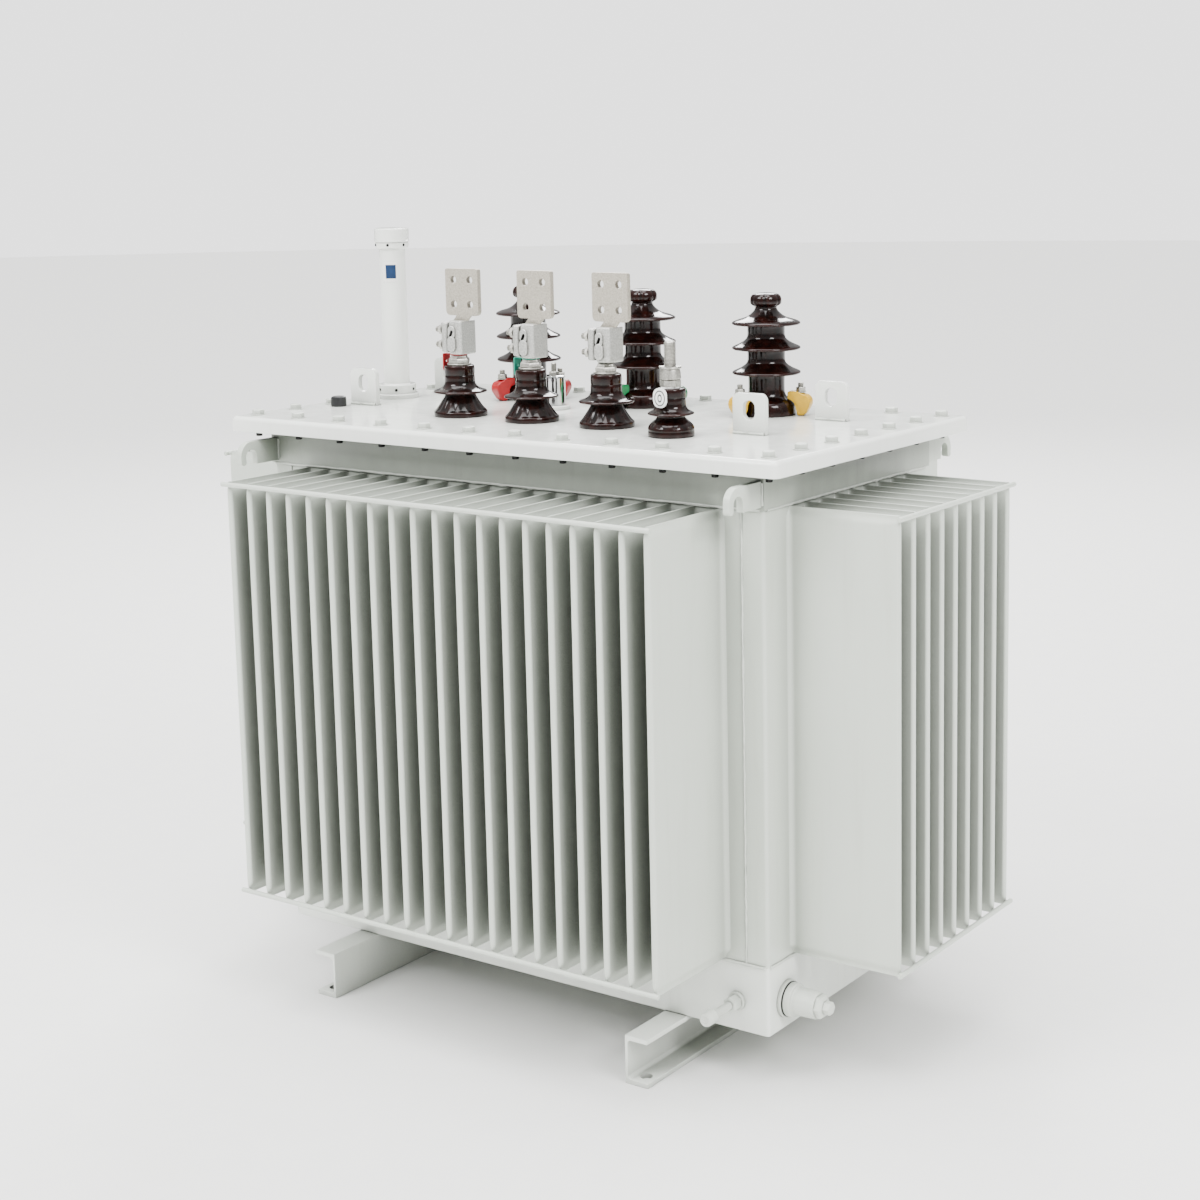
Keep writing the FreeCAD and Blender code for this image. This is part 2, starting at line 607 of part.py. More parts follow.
def lv_terminal(name, number):
    """Split clamp on the stud with a four-hole palm standing above it."""
    body = new_body(name)
    wide, deep = "clamp_width / 2", "clamp_depth / 2"
    block = new_sketch(body, "XY", "clamp_bottom")
    rectangle(block, f"-{wide}", f"-{deep}", wide, deep)
    pad(body, block, "clamp_height")
    front = "palm_thickness / 2"
    neck_left, neck_right = "palm_offset - palm_neck_width / 2", "palm_offset + palm_neck_width / 2"
    neck = new_sketch(body, "XZ", f"-{front}")
    rectangle(neck, neck_left, "clamp_bottom + clamp_height", neck_right, "palm_bottom")
    pad(body, neck, "palm_thickness")
    palm = new_sketch(body, "XZ", f"-{front}")
    left, right = "palm_offset - palm_width / 2", "palm_offset + palm_width / 2"
    polygon(palm, [
        (f"{left} + palm_corner", "palm_bottom"), (f"{right} - palm_corner", "palm_bottom"),
        (right, "palm_bottom + palm_corner"), (right, "palm_bottom + palm_height"),
        (left, "palm_bottom + palm_height"), (left, "palm_bottom + palm_corner")])
    for side in MIRRORED:
        for level in MIRRORED:
            circle(palm, f"palm_offset + {side} * palm_hole_step_x / 2",
                   f"palm_bottom + palm_height / 2 + {level} * palm_hole_step_z / 2",
                   "palm_hole_radius")
    pad(body, palm, "palm_thickness")
    bolts = new_sketch(body, "YZ", f"-{wide} - clamp_bolt_length")
    for height in ("clamp_bolt_low", "clamp_bolt_high"):
        circle(bolts, "clamp_bolt_place", f"clamp_bottom + {height}", "clamp_bolt_radius")
    pad(body, bolts, "clamp_bolt_length")
    bore = new_sketch(body, "XY", "clamp_bottom + lv_stud_length")
    circle(bore, "0", "0", "lv_stud_radius + stud_clearance")
    pocket(body, bore, "lv_stud_length")
    slit = new_sketch(body, "XY", "clamp_bottom + clamp_height")
    rectangle(slit, "clamp_slit_place", f"-{deep}", "clamp_slit_place + clamp_slit", "0")
    pocket(body, slit, "clamp_height")
    place(body, *lv_place(number))
    return finish(body, name)


def tag_plate(name, x, y, ring_height, bore, reach, width, drop, turn):
    """Plastic tag: a washer round the stud, a short arm and a plate that hangs down."""
    body = new_body(name)
    half = f"{width} / 2"
    washer = new_sketch(body, "XY")
    circle(washer, "0", "0", f"{bore} + tag_ring_wall")
    circle(washer, "0", "0", f"{bore} + stud_clearance")
    pad(body, washer, "tag_thickness")
    arm = new_sketch(body, "XY")
    arm_half = "tag_arm_width / 2"
    rectangle(arm, f"-{reach}", f"-{arm_half}", f"-{bore} - tag_ring_wall / 2", arm_half)
    pad(body, arm, "tag_thickness")
    plate = new_sketch(body, "XY", f"-{drop}")
    rectangle(plate, f"-{reach} - tag_thickness", f"-{half}", f"-{reach}", half)
    pad(body, plate, f"{drop} + tag_thickness")
    place(body, x, y, ring_height, Rotation(Vector(0, 0, 1), turn))
    return body


def phase_tags():
    """Coloured tags on two low voltage studs and an oval one on the neutral."""
    tags = []
    for number, phase in enumerate(LV_PHASES[:2]):
        x, y, base = lv_place(number)
        tags.append(tag_plate(
            f"lv_tag_{phase}", x, y, f"{base} + lv_height + lv_nut_height", "lv_stud_radius",
            "tag_reach", "tag_width", "tag_drop", 0))
    tags.append(tag_plate(
        "neutral_tag", "neutral_place_x", "neutral_place_y", "cover_top + neutral_height",
        "neutral_stud_radius", "neutral_tag_reach", "neutral_tag_width",
        "neutral_tag_drop", 90))
    return compound("phase_tags", tags)


# ---------------------------------------------------------------- high voltage side
HV_PHASES = ("a", "b", "c")
HV_SHEDS = 3


def hv_place(number):
    return f"hv_first + {number} * hv_pitch", "hv_row", "cover_top"


def hv_porcelain(name, number):
    """Base flange, barrel with three sheds and a rounded top knob."""
    profile = [("0", "0"), ("hv_base_radius", "0"), ("hv_base_radius", "hv_base_height"),
               ("hv_barrel_radius", "hv_shoulder_height"),
               ("hv_barrel_radius", "hv_shed_first - 2")]
    for shed in range(HV_SHEDS):
        level = f"hv_shed_first + {shed} * hv_shed_step"
        profile += [("hv_shed_radius", level), ("hv_shed_radius", f"{level} + hv_shed_edge")]
        if shed < HV_SHEDS - 1:
            profile += [("hv_core_radius", f"{level} + hv_shed_slope + hv_shed_edge"),
                        ("hv_core_radius", f"{level} + hv_shed_step - hv_shed_edge")]
    profile += [("hv_neck_radius", "hv_neck_height"), ("hv_knob_radius", "hv_knob_low"),
                ("hv_knob_radius", "hv_knob_high"), ("hv_neck_radius", "hv_height"),
                ("0", "hv_height")]
    body = turned(name, profile)
    place(body, *hv_place(number))
    return finish(body, name)


def hv_clamps(name, number):
    """Three cast claws with studs and nuts that hold the base flange down."""
    rim, rim_top = size("hv_base_radius"), size("hv_base_height")
    gap, lip, toe = size("claw_gap"), rim - size("claw_lip"), rim + size("claw_toe")
    reach, heel, top = rim + size("claw_reach"), rim + size("claw_heel"), size("claw_height")
    slope = (size("hv_shoulder_height") - rim_top) / (rim - size("hv_barrel_radius"))
    lip_bottom = rim_top + (rim - lip) * slope + gap
    outline = [(lip, lip_bottom), (rim + gap, rim_top + gap), (toe, 0), (heel, 0),
               (reach, rim_top), (reach, (rim_top + top) / 2), (heel, top), (lip, top)]
    wide = size("claw_width")
    points = [Vector(radius, -wide / 2, height) for radius, height in outline]
    claw = Part.Face(Part.makePolygon(points + points[:1])).extrude(Vector(0, wide, 0))
    axis = Vector(rim + size("claw_stud_out"), 0, 0)
    stud = Part.makeCylinder(size("claw_stud_radius"), size("claw_stud_height"), axis)
    nut = Part.makeCylinder(size("claw_nut_radius"), size("claw_nut_height"),
                            axis + Vector(0, 0, top))
    claw = claw.multiFuse([stud, nut]).removeSplitter()
    x, y, base = (size(formula) for formula in hv_place(number))
    claws = []
    count = int(size("claw_count"))
    for step in range(count):
        copy = claw.copy()
        angle = size("claw_first_angle") + step * 360 / count
        copy.rotate(Vector(), Vector(0, 0, 1), angle)
        copy.translate(Vector(x, y, base))
        claws.append(copy)
    feature = doc.addObject("Part::Feature", name)
    feature.Shape = Part.makeCompound(claws)
    return finish(feature, name)


# ---------------------------------------------------------------- fittings
def filler_tube():
    """Filler and level tube on a flanged foot; its bore runs right through."""
    body = turned("filler_tube", [
        ("filler_bore_radius", "0"), ("filler_base_radius", "0"),
        ("filler_base_radius", "filler_base_height"),
        ("filler_collar_radius", "filler_base_height"),
        ("filler_collar_radius", "filler_collar_top"),
        ("filler_tube_radius", "filler_collar_top"), ("filler_tube_radius", "filler_ring_low"),
        ("filler_ring_radius", "filler_ring_low"), ("filler_ring_radius", "filler_ring_high"),
        ("filler_bore_radius", "filler_ring_high")])
    place(body, "filler_place_x", "filler_place_y", "cover_top")
    return finish(body, "filler_tube")


def turned_fitting(name, steps, x, y, z, turn=None):
    body = turned(name, stepped(steps))
    place(body, x, y, z, turn)
    return finish(body, name)


# ---------------------------------------------------------------- the transformer
base_channel("base_channel_left", -1)
base_channel("base_channel_right", 1)
bottom_pan()
long_wall = ("front_face", "front_fin_count", "front_fin_depth")
end_wall = ("side_face", "side_fin_count", "side_fin_depth")
for side, turn, outline, (face, count, depth) in (
        ("front", 0, plain_sheet(), long_wall), ("right", 90, wrapped_sheet(), end_wall),
        ("back", 180, plain_sheet(), long_wall), ("left", -90, wrapped_sheet(), end_wall)):
    corrugated_wall(f"corrugated_wall_{side}", turn, outline, face, count, depth)
    fin_rods(f"fin_rods_{side}", turn, count, f"{face} + {depth}")
top_frame()
cover()
cover_bolts()
cover_left = "-cover_length / 2"
lifting_lug("lifting_lug_front_left", f"{cover_left} + left_lug_edge", "lv_row + left_lug_row")
lifting_lug("lifting_lug_front_right", "hv_last + right_lug_beyond", "lv_row + right_lug_row")
lifting_lug("lifting_lug_back_left", f"{cover_left} + left_back_lug_edge",
            "hv_row + left_back_lug_row")
lifting_lug("lifting_lug_back_right", "hv_last + right_back_lug_beyond",
            "hv_row + right_back_lug_row")
for side_x, end in ((-1, "left"), (1, "right")):
    lashing_hook(f"lashing_hook_front_{end}", side_x, -1)
    lashing_hook(f"lashing_hook_back_{end}", side_x, 1)
for number, phase in enumerate(LV_PHASES):
    lv_porcelain(f"lv_porcelain_{phase}", number)
    lv_terminal(f"lv_terminal_{phase}", number)
neutral_porcelain()
bushing_studs()
phase_tags()
for number, phase in enumerate(HV_PHASES):
    hv_porcelain(f"hv_porcelain_{phase}", number)
    hv_clamps(f"hv_clamps_{phase}", number)
filler_tube()
turned_fitting("filler_cap", [("filler_cap_radius", "filler_cap_height")],
               "filler_place_x", "filler_place_y", "cover_top + filler_ring_high")
turned_fitting("thermometer_pocket", [("pocket_radius", "pocket_height")],
               "pocket_place_x", "pocket_place_y", "cover_top")
turned_fitting("tap_changer_cover",
               [("tap_flange_radius", "tap_flange_height"), ("tap_radius", "tap_height"),
                ("tap_stud_radius", "tap_stud_height")],
               "tap_place_x", "tap_place_y", "cover_top")
turned_fitting("drain_valve",
               [("drain_disc_radius", "drain_disc_length"),
                ("drain_collar_radius", "drain_collar_length"),
                ("drain_body_radius", "drain_body_length"),
                ("drain_plug_radius", "drain_length")],
               "side_face", "drain_place_y", "drain_place_z", Rotation(Vector(0, 1, 0), 90))
turned_fitting("sampling_valve",
               [("sampler_disc_radius", "sampler_disc_length"),
                ("sampler_nut_radius", "sampler_nut_length"),
                ("sampler_stem_radius", "sampler_stem_length"),
                ("sampler_knob_radius", "sampler_length")],
               "sampler_place_x", "-front_face", "sampler_place_z",
               Rotation(Vector(1, 0, 0), 90))

# ---------------------------------------------------------------- check and write
doc.recompute()
for item in doc.Objects:
    if {"Invalid", "Error"} & set(item.State):
        raise RuntimeError(f"{item.Name} failed: {item.State}")
os.makedirs("parts", exist_ok=True)
for item in finished:
    if item.Shape.isNull() or not item.Shape.isValid():
        raise RuntimeError(f"{item.Label} has no valid shape")
    item.Shape.exportStep(f"parts/{item.Label}.step")
print(len(finished), "sub-parts written")
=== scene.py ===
# %% [markdown]
# # An oil-filled power transformer
# The lesson builds the looks of a distribution transformer: a steel tank with folded
# cooling fins, a bolted cover, four small and three tall porcelain bushings, a filler tube
# and two valves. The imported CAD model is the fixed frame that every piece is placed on.
# Each piece below is made the way that a modeller would make it by hand: a primitive,
# shaped in edit mode, finished with modifiers.

# %% Load the frame
import math

import bmesh
import bpy
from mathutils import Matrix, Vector


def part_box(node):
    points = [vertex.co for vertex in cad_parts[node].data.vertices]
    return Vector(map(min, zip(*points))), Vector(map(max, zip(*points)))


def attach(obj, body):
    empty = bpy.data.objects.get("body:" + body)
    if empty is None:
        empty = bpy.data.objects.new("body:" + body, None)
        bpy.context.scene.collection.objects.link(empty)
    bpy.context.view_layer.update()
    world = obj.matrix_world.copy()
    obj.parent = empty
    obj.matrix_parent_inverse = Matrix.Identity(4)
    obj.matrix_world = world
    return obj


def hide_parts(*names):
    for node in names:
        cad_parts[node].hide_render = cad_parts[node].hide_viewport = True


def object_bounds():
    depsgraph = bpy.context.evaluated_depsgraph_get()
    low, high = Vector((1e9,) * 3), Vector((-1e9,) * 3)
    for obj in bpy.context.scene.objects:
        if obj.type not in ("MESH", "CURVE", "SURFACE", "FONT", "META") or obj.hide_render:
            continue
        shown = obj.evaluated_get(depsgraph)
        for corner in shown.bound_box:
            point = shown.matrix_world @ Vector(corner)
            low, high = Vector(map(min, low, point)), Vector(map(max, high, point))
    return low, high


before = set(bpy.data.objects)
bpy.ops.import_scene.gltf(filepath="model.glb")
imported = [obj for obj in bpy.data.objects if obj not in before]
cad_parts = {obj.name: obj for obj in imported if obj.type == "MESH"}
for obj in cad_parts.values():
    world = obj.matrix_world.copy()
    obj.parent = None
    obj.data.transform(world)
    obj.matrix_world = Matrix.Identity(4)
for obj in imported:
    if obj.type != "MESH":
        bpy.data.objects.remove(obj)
cad_low, cad_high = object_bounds()
MM = 0.001
print("CAD box, mm:", [round(side / MM) for side in cad_high - cad_low])

# %% [markdown]
# ## Tools for the bench
# An operator acts on everything that is selected, so one piece at a time is made the only
# selected one. All sizes in this lesson are millimetres, and MM turns them into Blender's
# metres. A CAD node's box says where its piece goes.

# %% One piece on the bench
def alone(piece):
    """Leaves this piece as the only selected and active one."""
    bpy.ops.object.select_all(action="DESELECT")
    piece.select_set(True)
    bpy.context.view_layer.objects.active = piece


def added(name):
    """Names the primitive just added and moves its place into its mesh."""
    piece = bpy.context.active_object
    piece.name = name
    alone(piece)
    bpy.ops.object.transform_apply(location=True, rotation=True, scale=True)
    return piece


def limits(node):
    """Lowest and highest corner of a CAD node in millimetres."""
    low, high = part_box(node)
    return low / MM, high / MM


def foot(node):
    """Middle of the underside of a CAD node in millimetres."""
    low, high = limits(node)
    return Vector(((low.x + high.x) / 2, (low.y + high.y) / 2, low.z))


print("cover:", [round(value) for value in limits("cover")[1]])

# %% [markdown]
# A primitive is a start: a box or a cylinder that stands on a given point. Moving and turning
# are applied at once, so that a finished piece's object stays at the origin.

# %% Primitives in millimetres
def block(name, length, width, height, bottom=(0, 0, 0)):
    """A box that stands on the point bottom."""
    x, y, z = bottom
    bpy.ops.object.select_all(action="DESELECT")
    bpy.ops.mesh.primitive_cube_add(
        size=MM, location=(x * MM, y * MM, (z + height / 2) * MM),
        scale=(length, width, height))
    return added(name)


def rod(name, radius, height, bottom=(0, 0, 0), sides=32):
    """An upright cylinder that stands on the point bottom."""
    x, y, z = bottom
    bpy.ops.object.select_all(action="DESELECT")
    bpy.ops.mesh.primitive_cylinder_add(
        vertices=sides, radius=radius * MM, depth=height * MM,
        location=(x * MM, y * MM, (z + height / 2) * MM))
    return added(name)


print("primitives ready")

# %% Place, copy and join
def move(piece, x=0, y=0, z=0):
    alone(piece)
    piece.location = Vector((x, y, z)) * MM
    bpy.ops.object.transform_apply(location=True, rotation=False, scale=False)
    return piece


def turn(piece, degrees, axis="Z"):
    """Turns a piece about a world axis, by the right-hand rule."""
    alone(piece)
    setattr(piece.rotation_euler, axis.lower(), math.radians(degrees))
    bpy.ops.object.transform_apply(location=False, rotation=True, scale=False)
    return piece


def copied(piece, name):
    """A copy with its own mesh."""
    alone(piece)
    bpy.ops.object.duplicate(linked=False)
    bpy.context.active_object.name = name
    return bpy.context.active_object


def joined(name, pieces):
    """Joins pieces, each with its materials, into one."""
    bpy.ops.object.select_all(action="DESELECT")
    for piece in pieces:
        piece.select_set(True)
    bpy.context.view_layer.objects.active = pieces[0]
    bpy.ops.object.join()
    pieces[0].name = name
    return pieces[0]


print("bench ready")

# %% [markdown]
# In edit mode an operator acts on the selected vertices, edges or faces. They are picked by
# their place, such as all the edges that run upwards, and then bevelled, moved or deleted.

# %% Edit mode
def edit(piece):
    alone(piece)
    bpy.ops.object.mode_set(mode="EDIT")
    bpy.ops.mesh.select_mode(type="VERT")
    bpy.ops.mesh.select_all(action="SELECT")


def done():
    bpy.ops.object.mode_set(mode="OBJECT")


def pick(piece, kind, wanted):
    """Selects the vertices, edges or faces whose middle, in millimetres, is wanted."""
    bpy.ops.mesh.select_mode(type=kind)
    bpy.ops.mesh.select_all(action="DESELECT")
    shape = bmesh.from_edit_mesh(piece.data)
    parts = {"VERT": shape.verts, "EDGE": shape.edges, "FACE": shape.faces}[kind]
    for part in parts:
        corners = [part] if kind == "VERT" else list(part.verts)
        middle = sum((corner.co for corner in corners), Vector()) / len(corners) / MM
        if wanted(middle, part):
            part.select_set(True)
    shape.select_flush_mode()
    bmesh.update_edit_mesh(piece.data)


def along(edge, axis):
    """True for an edge that runs along the axis."""
    run = edge.verts[1].co - edge.verts[0].co
    return abs(run["XYZ".index(axis)]) > 0.999 * run.length


def near(value, target, slack=0.05):
    return abs(value - target) < slack


print("picking ready")

# %% Bevel, slice and close
def bevel(width, segments=4):
    """Rounds the picked edges."""
    bpy.ops.mesh.bevel(offset=width * MM, segments=segments, affect="EDGES")


def slice_at(level, axis):
    """Cuts a new loop through everything at one height along an axis."""
    spot = Vector()
    spot["XYZ".index(axis)] = level * MM
    normal = Vector()
    normal["XYZ".index(axis)] = 1
    bpy.ops.mesh.select_all(action="SELECT")
    bpy.ops.mesh.bisect(plane_co=spot, plane_no=normal)


def outward():
    """Merges doubles and points every face outwards."""
    bpy.ops.mesh.select_all(action="SELECT")
    bpy.ops.mesh.remove_doubles(threshold=0.01 * MM)
    bpy.ops.mesh.normals_make_consistent(inside=False)


print("edit tools ready")

# %% [markdown]
# A modifier is applied as soon as it is added. Real edges are never sharp, so almost every
# piece is softened with a narrow bevel, which catches the light.

# %% Modifiers
def apply(piece, kind, **settings):
    """Adds a modifier with its settings and applies it."""
    alone(piece)
    modifier = piece.modifiers.new(kind.title(), kind)
    for setting, value in settings.items():
        setattr(modifier, setting, value)
    bpy.ops.object.modifier_apply(modifier=modifier.name)
    return piece


def soften(piece, width, segments=2, angle=30):
    """Breaks every edge that is sharper than the angle."""
    return apply(piece, "BEVEL", width=width * MM, segments=segments,
                 limit_method="ANGLE", angle_limit=math.radians(angle))


def cut(piece, tool):
    """Cuts the tool's shape out of the piece and puts the tool away."""
    apply(piece, "BOOLEAN", operation="DIFFERENCE", solver="EXACT", object=tool)
    bpy.data.objects.remove(tool)
    return piece


def smooth(piece, angle=35):
    """Smooth shading up to an angle, with big flat faces kept flat to their edges."""
    alone(piece)
    bpy.ops.object.shade_smooth_by_angle(angle=math.radians(angle))
    return apply(piece, "WEIGHTED_NORMAL", keep_sharp=True, weight=50)


print("modifiers ready")

# %% [markdown]
# ## Outlines that are spun or pushed out
# Porcelain, valves and tubes are turned shapes. By hand, a plane is merged to one vertex, the
# vertex is extruded along half of the outline and the line is spun about the axis. A cast
# claw or a rolled channel has one outline all along, so its line is closed with a face, and
# the face is extruded.

# %% Spun and pushed shapes
def traced(name, points):
    """A line of edges through the points, each x, y and z in millimetres."""
    bpy.ops.object.select_all(action="DESELECT")
    bpy.ops.mesh.primitive_plane_add(size=MM)
    piece = added(name)
    edit(piece)
    bpy.ops.mesh.merge(type="CENTER")
    bpy.ops.transform.translate(value=Vector(points[0]) * MM)
    last = Vector(points[0])
    for point in points[1:]:
        step = (Vector(point) - last) * MM
        bpy.ops.mesh.extrude_region_move(TRANSFORM_OT_translate={"value": step})
        last = Vector(point)
    return piece


def spun(name, outline, sides=48, angle=360):
    """Spins an outline of (radius, height) pairs about the Z axis."""
    piece = traced(name, [(radius, 0, height) for radius, height in outline])
    bpy.ops.mesh.select_all(action="SELECT")
    bpy.ops.mesh.spin(steps=sides, angle=math.radians(angle), center=(0, 0, 0),
                      axis=(0, 0, 1))
    outward()
    done()
    return piece


def pushed(name, outline, width):
    """Closes an outline of (x, z) pairs and extrudes it by width, centred on Y."""
    piece = traced(name, [(x, -width / 2, z) for x, z in outline])
    bpy.ops.mesh.select_all(action="SELECT")
    bpy.ops.mesh.edge_face_add()
    bpy.ops.mesh.extrude_region_move(TRANSFORM_OT_translate={"value": (0, width * MM, 0)})
    outward()
    done()
    return piece


print("outlines ready")

# %% [markdown]
# Nuts and threaded ends are needed many times over. A nut is a six-sided cylinder whose top
# is inset and raised, as a lathe turns its corners off.

# %% Hexagons and threads
def hexagon(name, corner, height, bottom=(0, 0, 0), chamfer=1.2):
    """A hexagon nut or head with its top corners turned off."""
    piece = rod(name, corner, height - chamfer, bottom, sides=6)
    top = bottom[2] + height - chamfer
    edit(piece)
    pick(piece, "FACE", lambda middle, face: near(middle.z, top))
    bpy.ops.mesh.inset(thickness=1.4 * chamfer * MM, depth=chamfer * MM)
    done()
    return soften(piece, 0.35, segments=1)


def thread(name, radius, length, pitch, bottom=(0, 0, 0), sides=20):
    """A threaded end. Rings stand for the helix, which the eye can't tell at this pitch."""
    outline = [(0, 0), (radius - 0.9, 0)]
    for ring in range(int(length / pitch)):
        outline += [(radius, (ring + 0.35) * pitch), (radius, (ring + 0.6) * pitch),
                    (radius - 0.9, (ring + 1) * pitch)]
    outline += [(radius - 1.6, length), (0, length)]
    return move(spun(name, outline, sides), *bottom)


print("nuts and threads ready")

# %% [markdown]
# ## Finishes
# Each finish is named for the real one. A hex colour is what a painter would pick on a
# screen, so one function turns it into the linear value that the shader wants, and one more
# adds a node with its settings and links. Noise sizes are real sizes: a pattern of so many
# millimetres has a scale of one over that size in metres.

# %% Colour and nodes
def linear(hex_colour):
    """sRGB hex to linear red, green, blue and alpha."""
    values = [int(hex_colour[place:place + 2], 16) / 255 for place in (1, 3, 5)]
    return [v / 12.92 if v <= 0.04045 else ((v + 0.055) / 1.055) ** 2.4
            for v in values] + [1.0]


def add_node(tree, kind, inputs=None, **settings):
    """Adds a node. An input is a value, or another node's output to link."""
    made = tree.nodes.new(kind)
    for setting, value in settings.items():
        setattr(made, setting, value)
    for socket, value in (inputs or {}).items():
        if isinstance(value, bpy.types.NodeSocket):
            tree.links.new(value, made.inputs[socket])
        else:
            made.inputs[socket].default_value = value
    return made


def finish_named(name, **constants):
    """A new material with constant values on its shader's own sockets."""
    material = bpy.data.materials.new(name)
    material.use_nodes = True
    shader = material.node_tree.nodes["Principled BSDF"]
    for socket, value in constants.items():
        shader.inputs[socket.replace("_", " ")].default_value = value
    return material, material.node_tree, shader


MIX_A, MIX_B, MIXED = 6, 7, 2    # a Mix node's colour sockets, by number


def per(millimetres):
    """Noise scale for a pattern of this size."""
    return 1 / (millimetres * MM)


print("one pattern of 4 mm has scale", per(4))

# %% [markdown]
# ### Sprayed and baked enamel
# The tank, the cover and the castings are steel under a pale grey gloss enamel that is
# sprayed on and baked. Up close it has orange peel a few millimetres across, its thickness
# drifts from hand to hand, and a little dust runs down upright faces. That gives the eye a
# soft, broken reflection where a flat grey would look like plastic. The colour is also
# painted darker where other surfaces stand close, deep between the fins and in corners, as
# painted shade; an Ambient Occlusion node finds those places from the shape alone.

# %% Painted shade in the corners
PAINTED_SHADE_COLOUR = "#444840"
PAINTED_SHADE_REACH = 92


def with_painted_shade(tree, colour, reach, painted_shade):
    """Mixes a colour towards a painted shade where other surfaces stand within so many
    millimetres.
    """
    corner = add_node(tree, "ShaderNodeAmbientOcclusion", {"Distance": reach * MM},
                      samples=6)
    open_share = add_node(tree, "ShaderNodeMapRange",
                          {"Value": corner.outputs["AO"], "From Min": 0.1,
                           "From Max": 0.74, "To Min": 0.0, "To Max": 1.0})
    mixed = add_node(tree, "ShaderNodeMix",
                     {"Factor": open_share.outputs["Result"], MIX_A: linear(painted_shade),
                      MIX_B: colour}, data_type="RGBA")
    return mixed.outputs[MIXED]


print("grime reaches", PAINTED_SHADE_REACH, "mm")

# %% [markdown]
# The enamel is one paint in lit and shaded copies, with light and shade painted into its
# colour: the cover is painted the palest, a painted light from above, and it is also the
# glossiest; the pan and the channels are painted paler, a painted light; the walls are
# greyer; and the band under the cover is painted the darkest, a painted shade under the
# cover's edge. Bolts and weld beads have a coarser skin.

# %% Enamel
def enamel(name, light, dark, dust, roughness=0.3, peel=3.5, peel_height=0.04):
    """Gloss enamel: drifting tone, faint runs of dust, orange peel."""
    material, tree, shader = finish_named(
        name, IOR=1.5, Coat_Weight=0.25, Coat_Roughness=0.12)
    place = add_node(tree, "ShaderNodeTexCoord").outputs["Object"]
    drift = add_node(tree, "ShaderNodeTexNoise",
                     {"Vector": place, "Scale": per(180), "Detail": 3.0})
    tone = add_node(tree, "ShaderNodeMix",
                    {"Factor": drift.outputs["Fac"], MIX_A: linear(dark),
                     MIX_B: linear(light)}, data_type="RGBA")
    down = add_node(tree, "ShaderNodeMapping", {"Vector": place, "Scale": (1, 1, 0.06)})
    runs = add_node(tree, "ShaderNodeTexNoise",
                    {"Vector": down.outputs["Vector"], "Scale": per(22), "Detail": 6.0,
                     "Roughness": 0.65})
    amount = add_node(tree, "ShaderNodeMapRange",
                      {"Value": runs.outputs["Fac"], "From Min": 0.52, "From Max": 0.85,
                       "To Min": 0.0, "To Max": 0.35})
    coated = add_node(tree, "ShaderNodeMix",
                      {"Factor": amount.outputs["Result"], MIX_A: tone.outputs[MIXED],
                       MIX_B: linear(dust)}, data_type="RGBA")
    # Painted shade: the colour darkens where other surfaces stand close, between fins and in
    # corners.
    shaded_colour = with_painted_shade(tree, coated.outputs[MIXED], PAINTED_SHADE_REACH, PAINTED_SHADE_COLOUR)
    tree.links.new(shaded_colour, shader.inputs["Base Color"])
    gloss = add_node(tree, "ShaderNodeMapRange",
                     {"Value": runs.outputs["Fac"], "From Min": 0.3, "From Max": 0.8,
                      "To Min": roughness - 0.05, "To Max": roughness + 0.12})
    tree.links.new(gloss.outputs["Result"], shader.inputs["Roughness"])
    grain = add_node(tree, "ShaderNodeTexNoise",
                     {"Vector": place, "Scale": per(peel), "Detail": 2.0})
    dents = add_node(tree, "ShaderNodeTexNoise",
                     {"Vector": place, "Scale": per(70), "Detail": 1.0})
    wave = add_node(tree, "ShaderNodeBump",
                    {"Height": dents.outputs["Fac"], "Strength": 0.25, "Distance": 0.0016})
    bump = add_node(tree, "ShaderNodeBump",
                    {"Height": grain.outputs["Fac"], "Strength": peel_height * 6,
                     "Distance": 0.0002, "Normal": wave.outputs["Normal"]})
    tree.links.new(bump.outputs["Normal"], shader.inputs["Normal"])
    return material


tank_enamel = enamel("tank_gloss_enamel", "#C6CCC2", "#BBC1B7", "#ABAFA2", roughness=0.36)
# Lit and shaded copies: painted light on the cover, painted shade on the band under it,
# painted light on the pan and channels.
cover_lit_enamel = enamel("cover_lit_gloss_enamel", "#ECEEE9", "#E5E8E2", "#D6DAD1", roughness=0.14)
curb_shaded_enamel = enamel("curb_shaded_gloss_enamel", "#A9AFA5", "#9BA197", "#83887C", roughness=0.36)
base_lit_enamel = enamel("base_lit_gloss_enamel", "#E4E8E1", "#DADED6", "#C4C8BD", roughness=0.34)
bolt_enamel = enamel("bolt_brushed_enamel", "#D0D4CC", "#BCC1B8", "#989B90",
                     roughness=0.38, peel=1.5, peel_height=0.1)
bead_enamel = enamel("weld_bead_enamel", "#D0D4CC", "#BCC1B8", "#8C9086",
                     roughness=0.36, peel=2.5, peel_height=0.16)
print("enamels:", [material.name for material in bpy.data.materials
                   if material.name.endswith("_enamel")])

# %% [markdown]
# ### Glazed porcelain
# The insulators are wet-process porcelain dipped in a brown glaze and fired. The glaze is
# glassy, so the highlights are small and hard, and it flows thin over rims and ribs, where
# the body shows through in a redder brown.

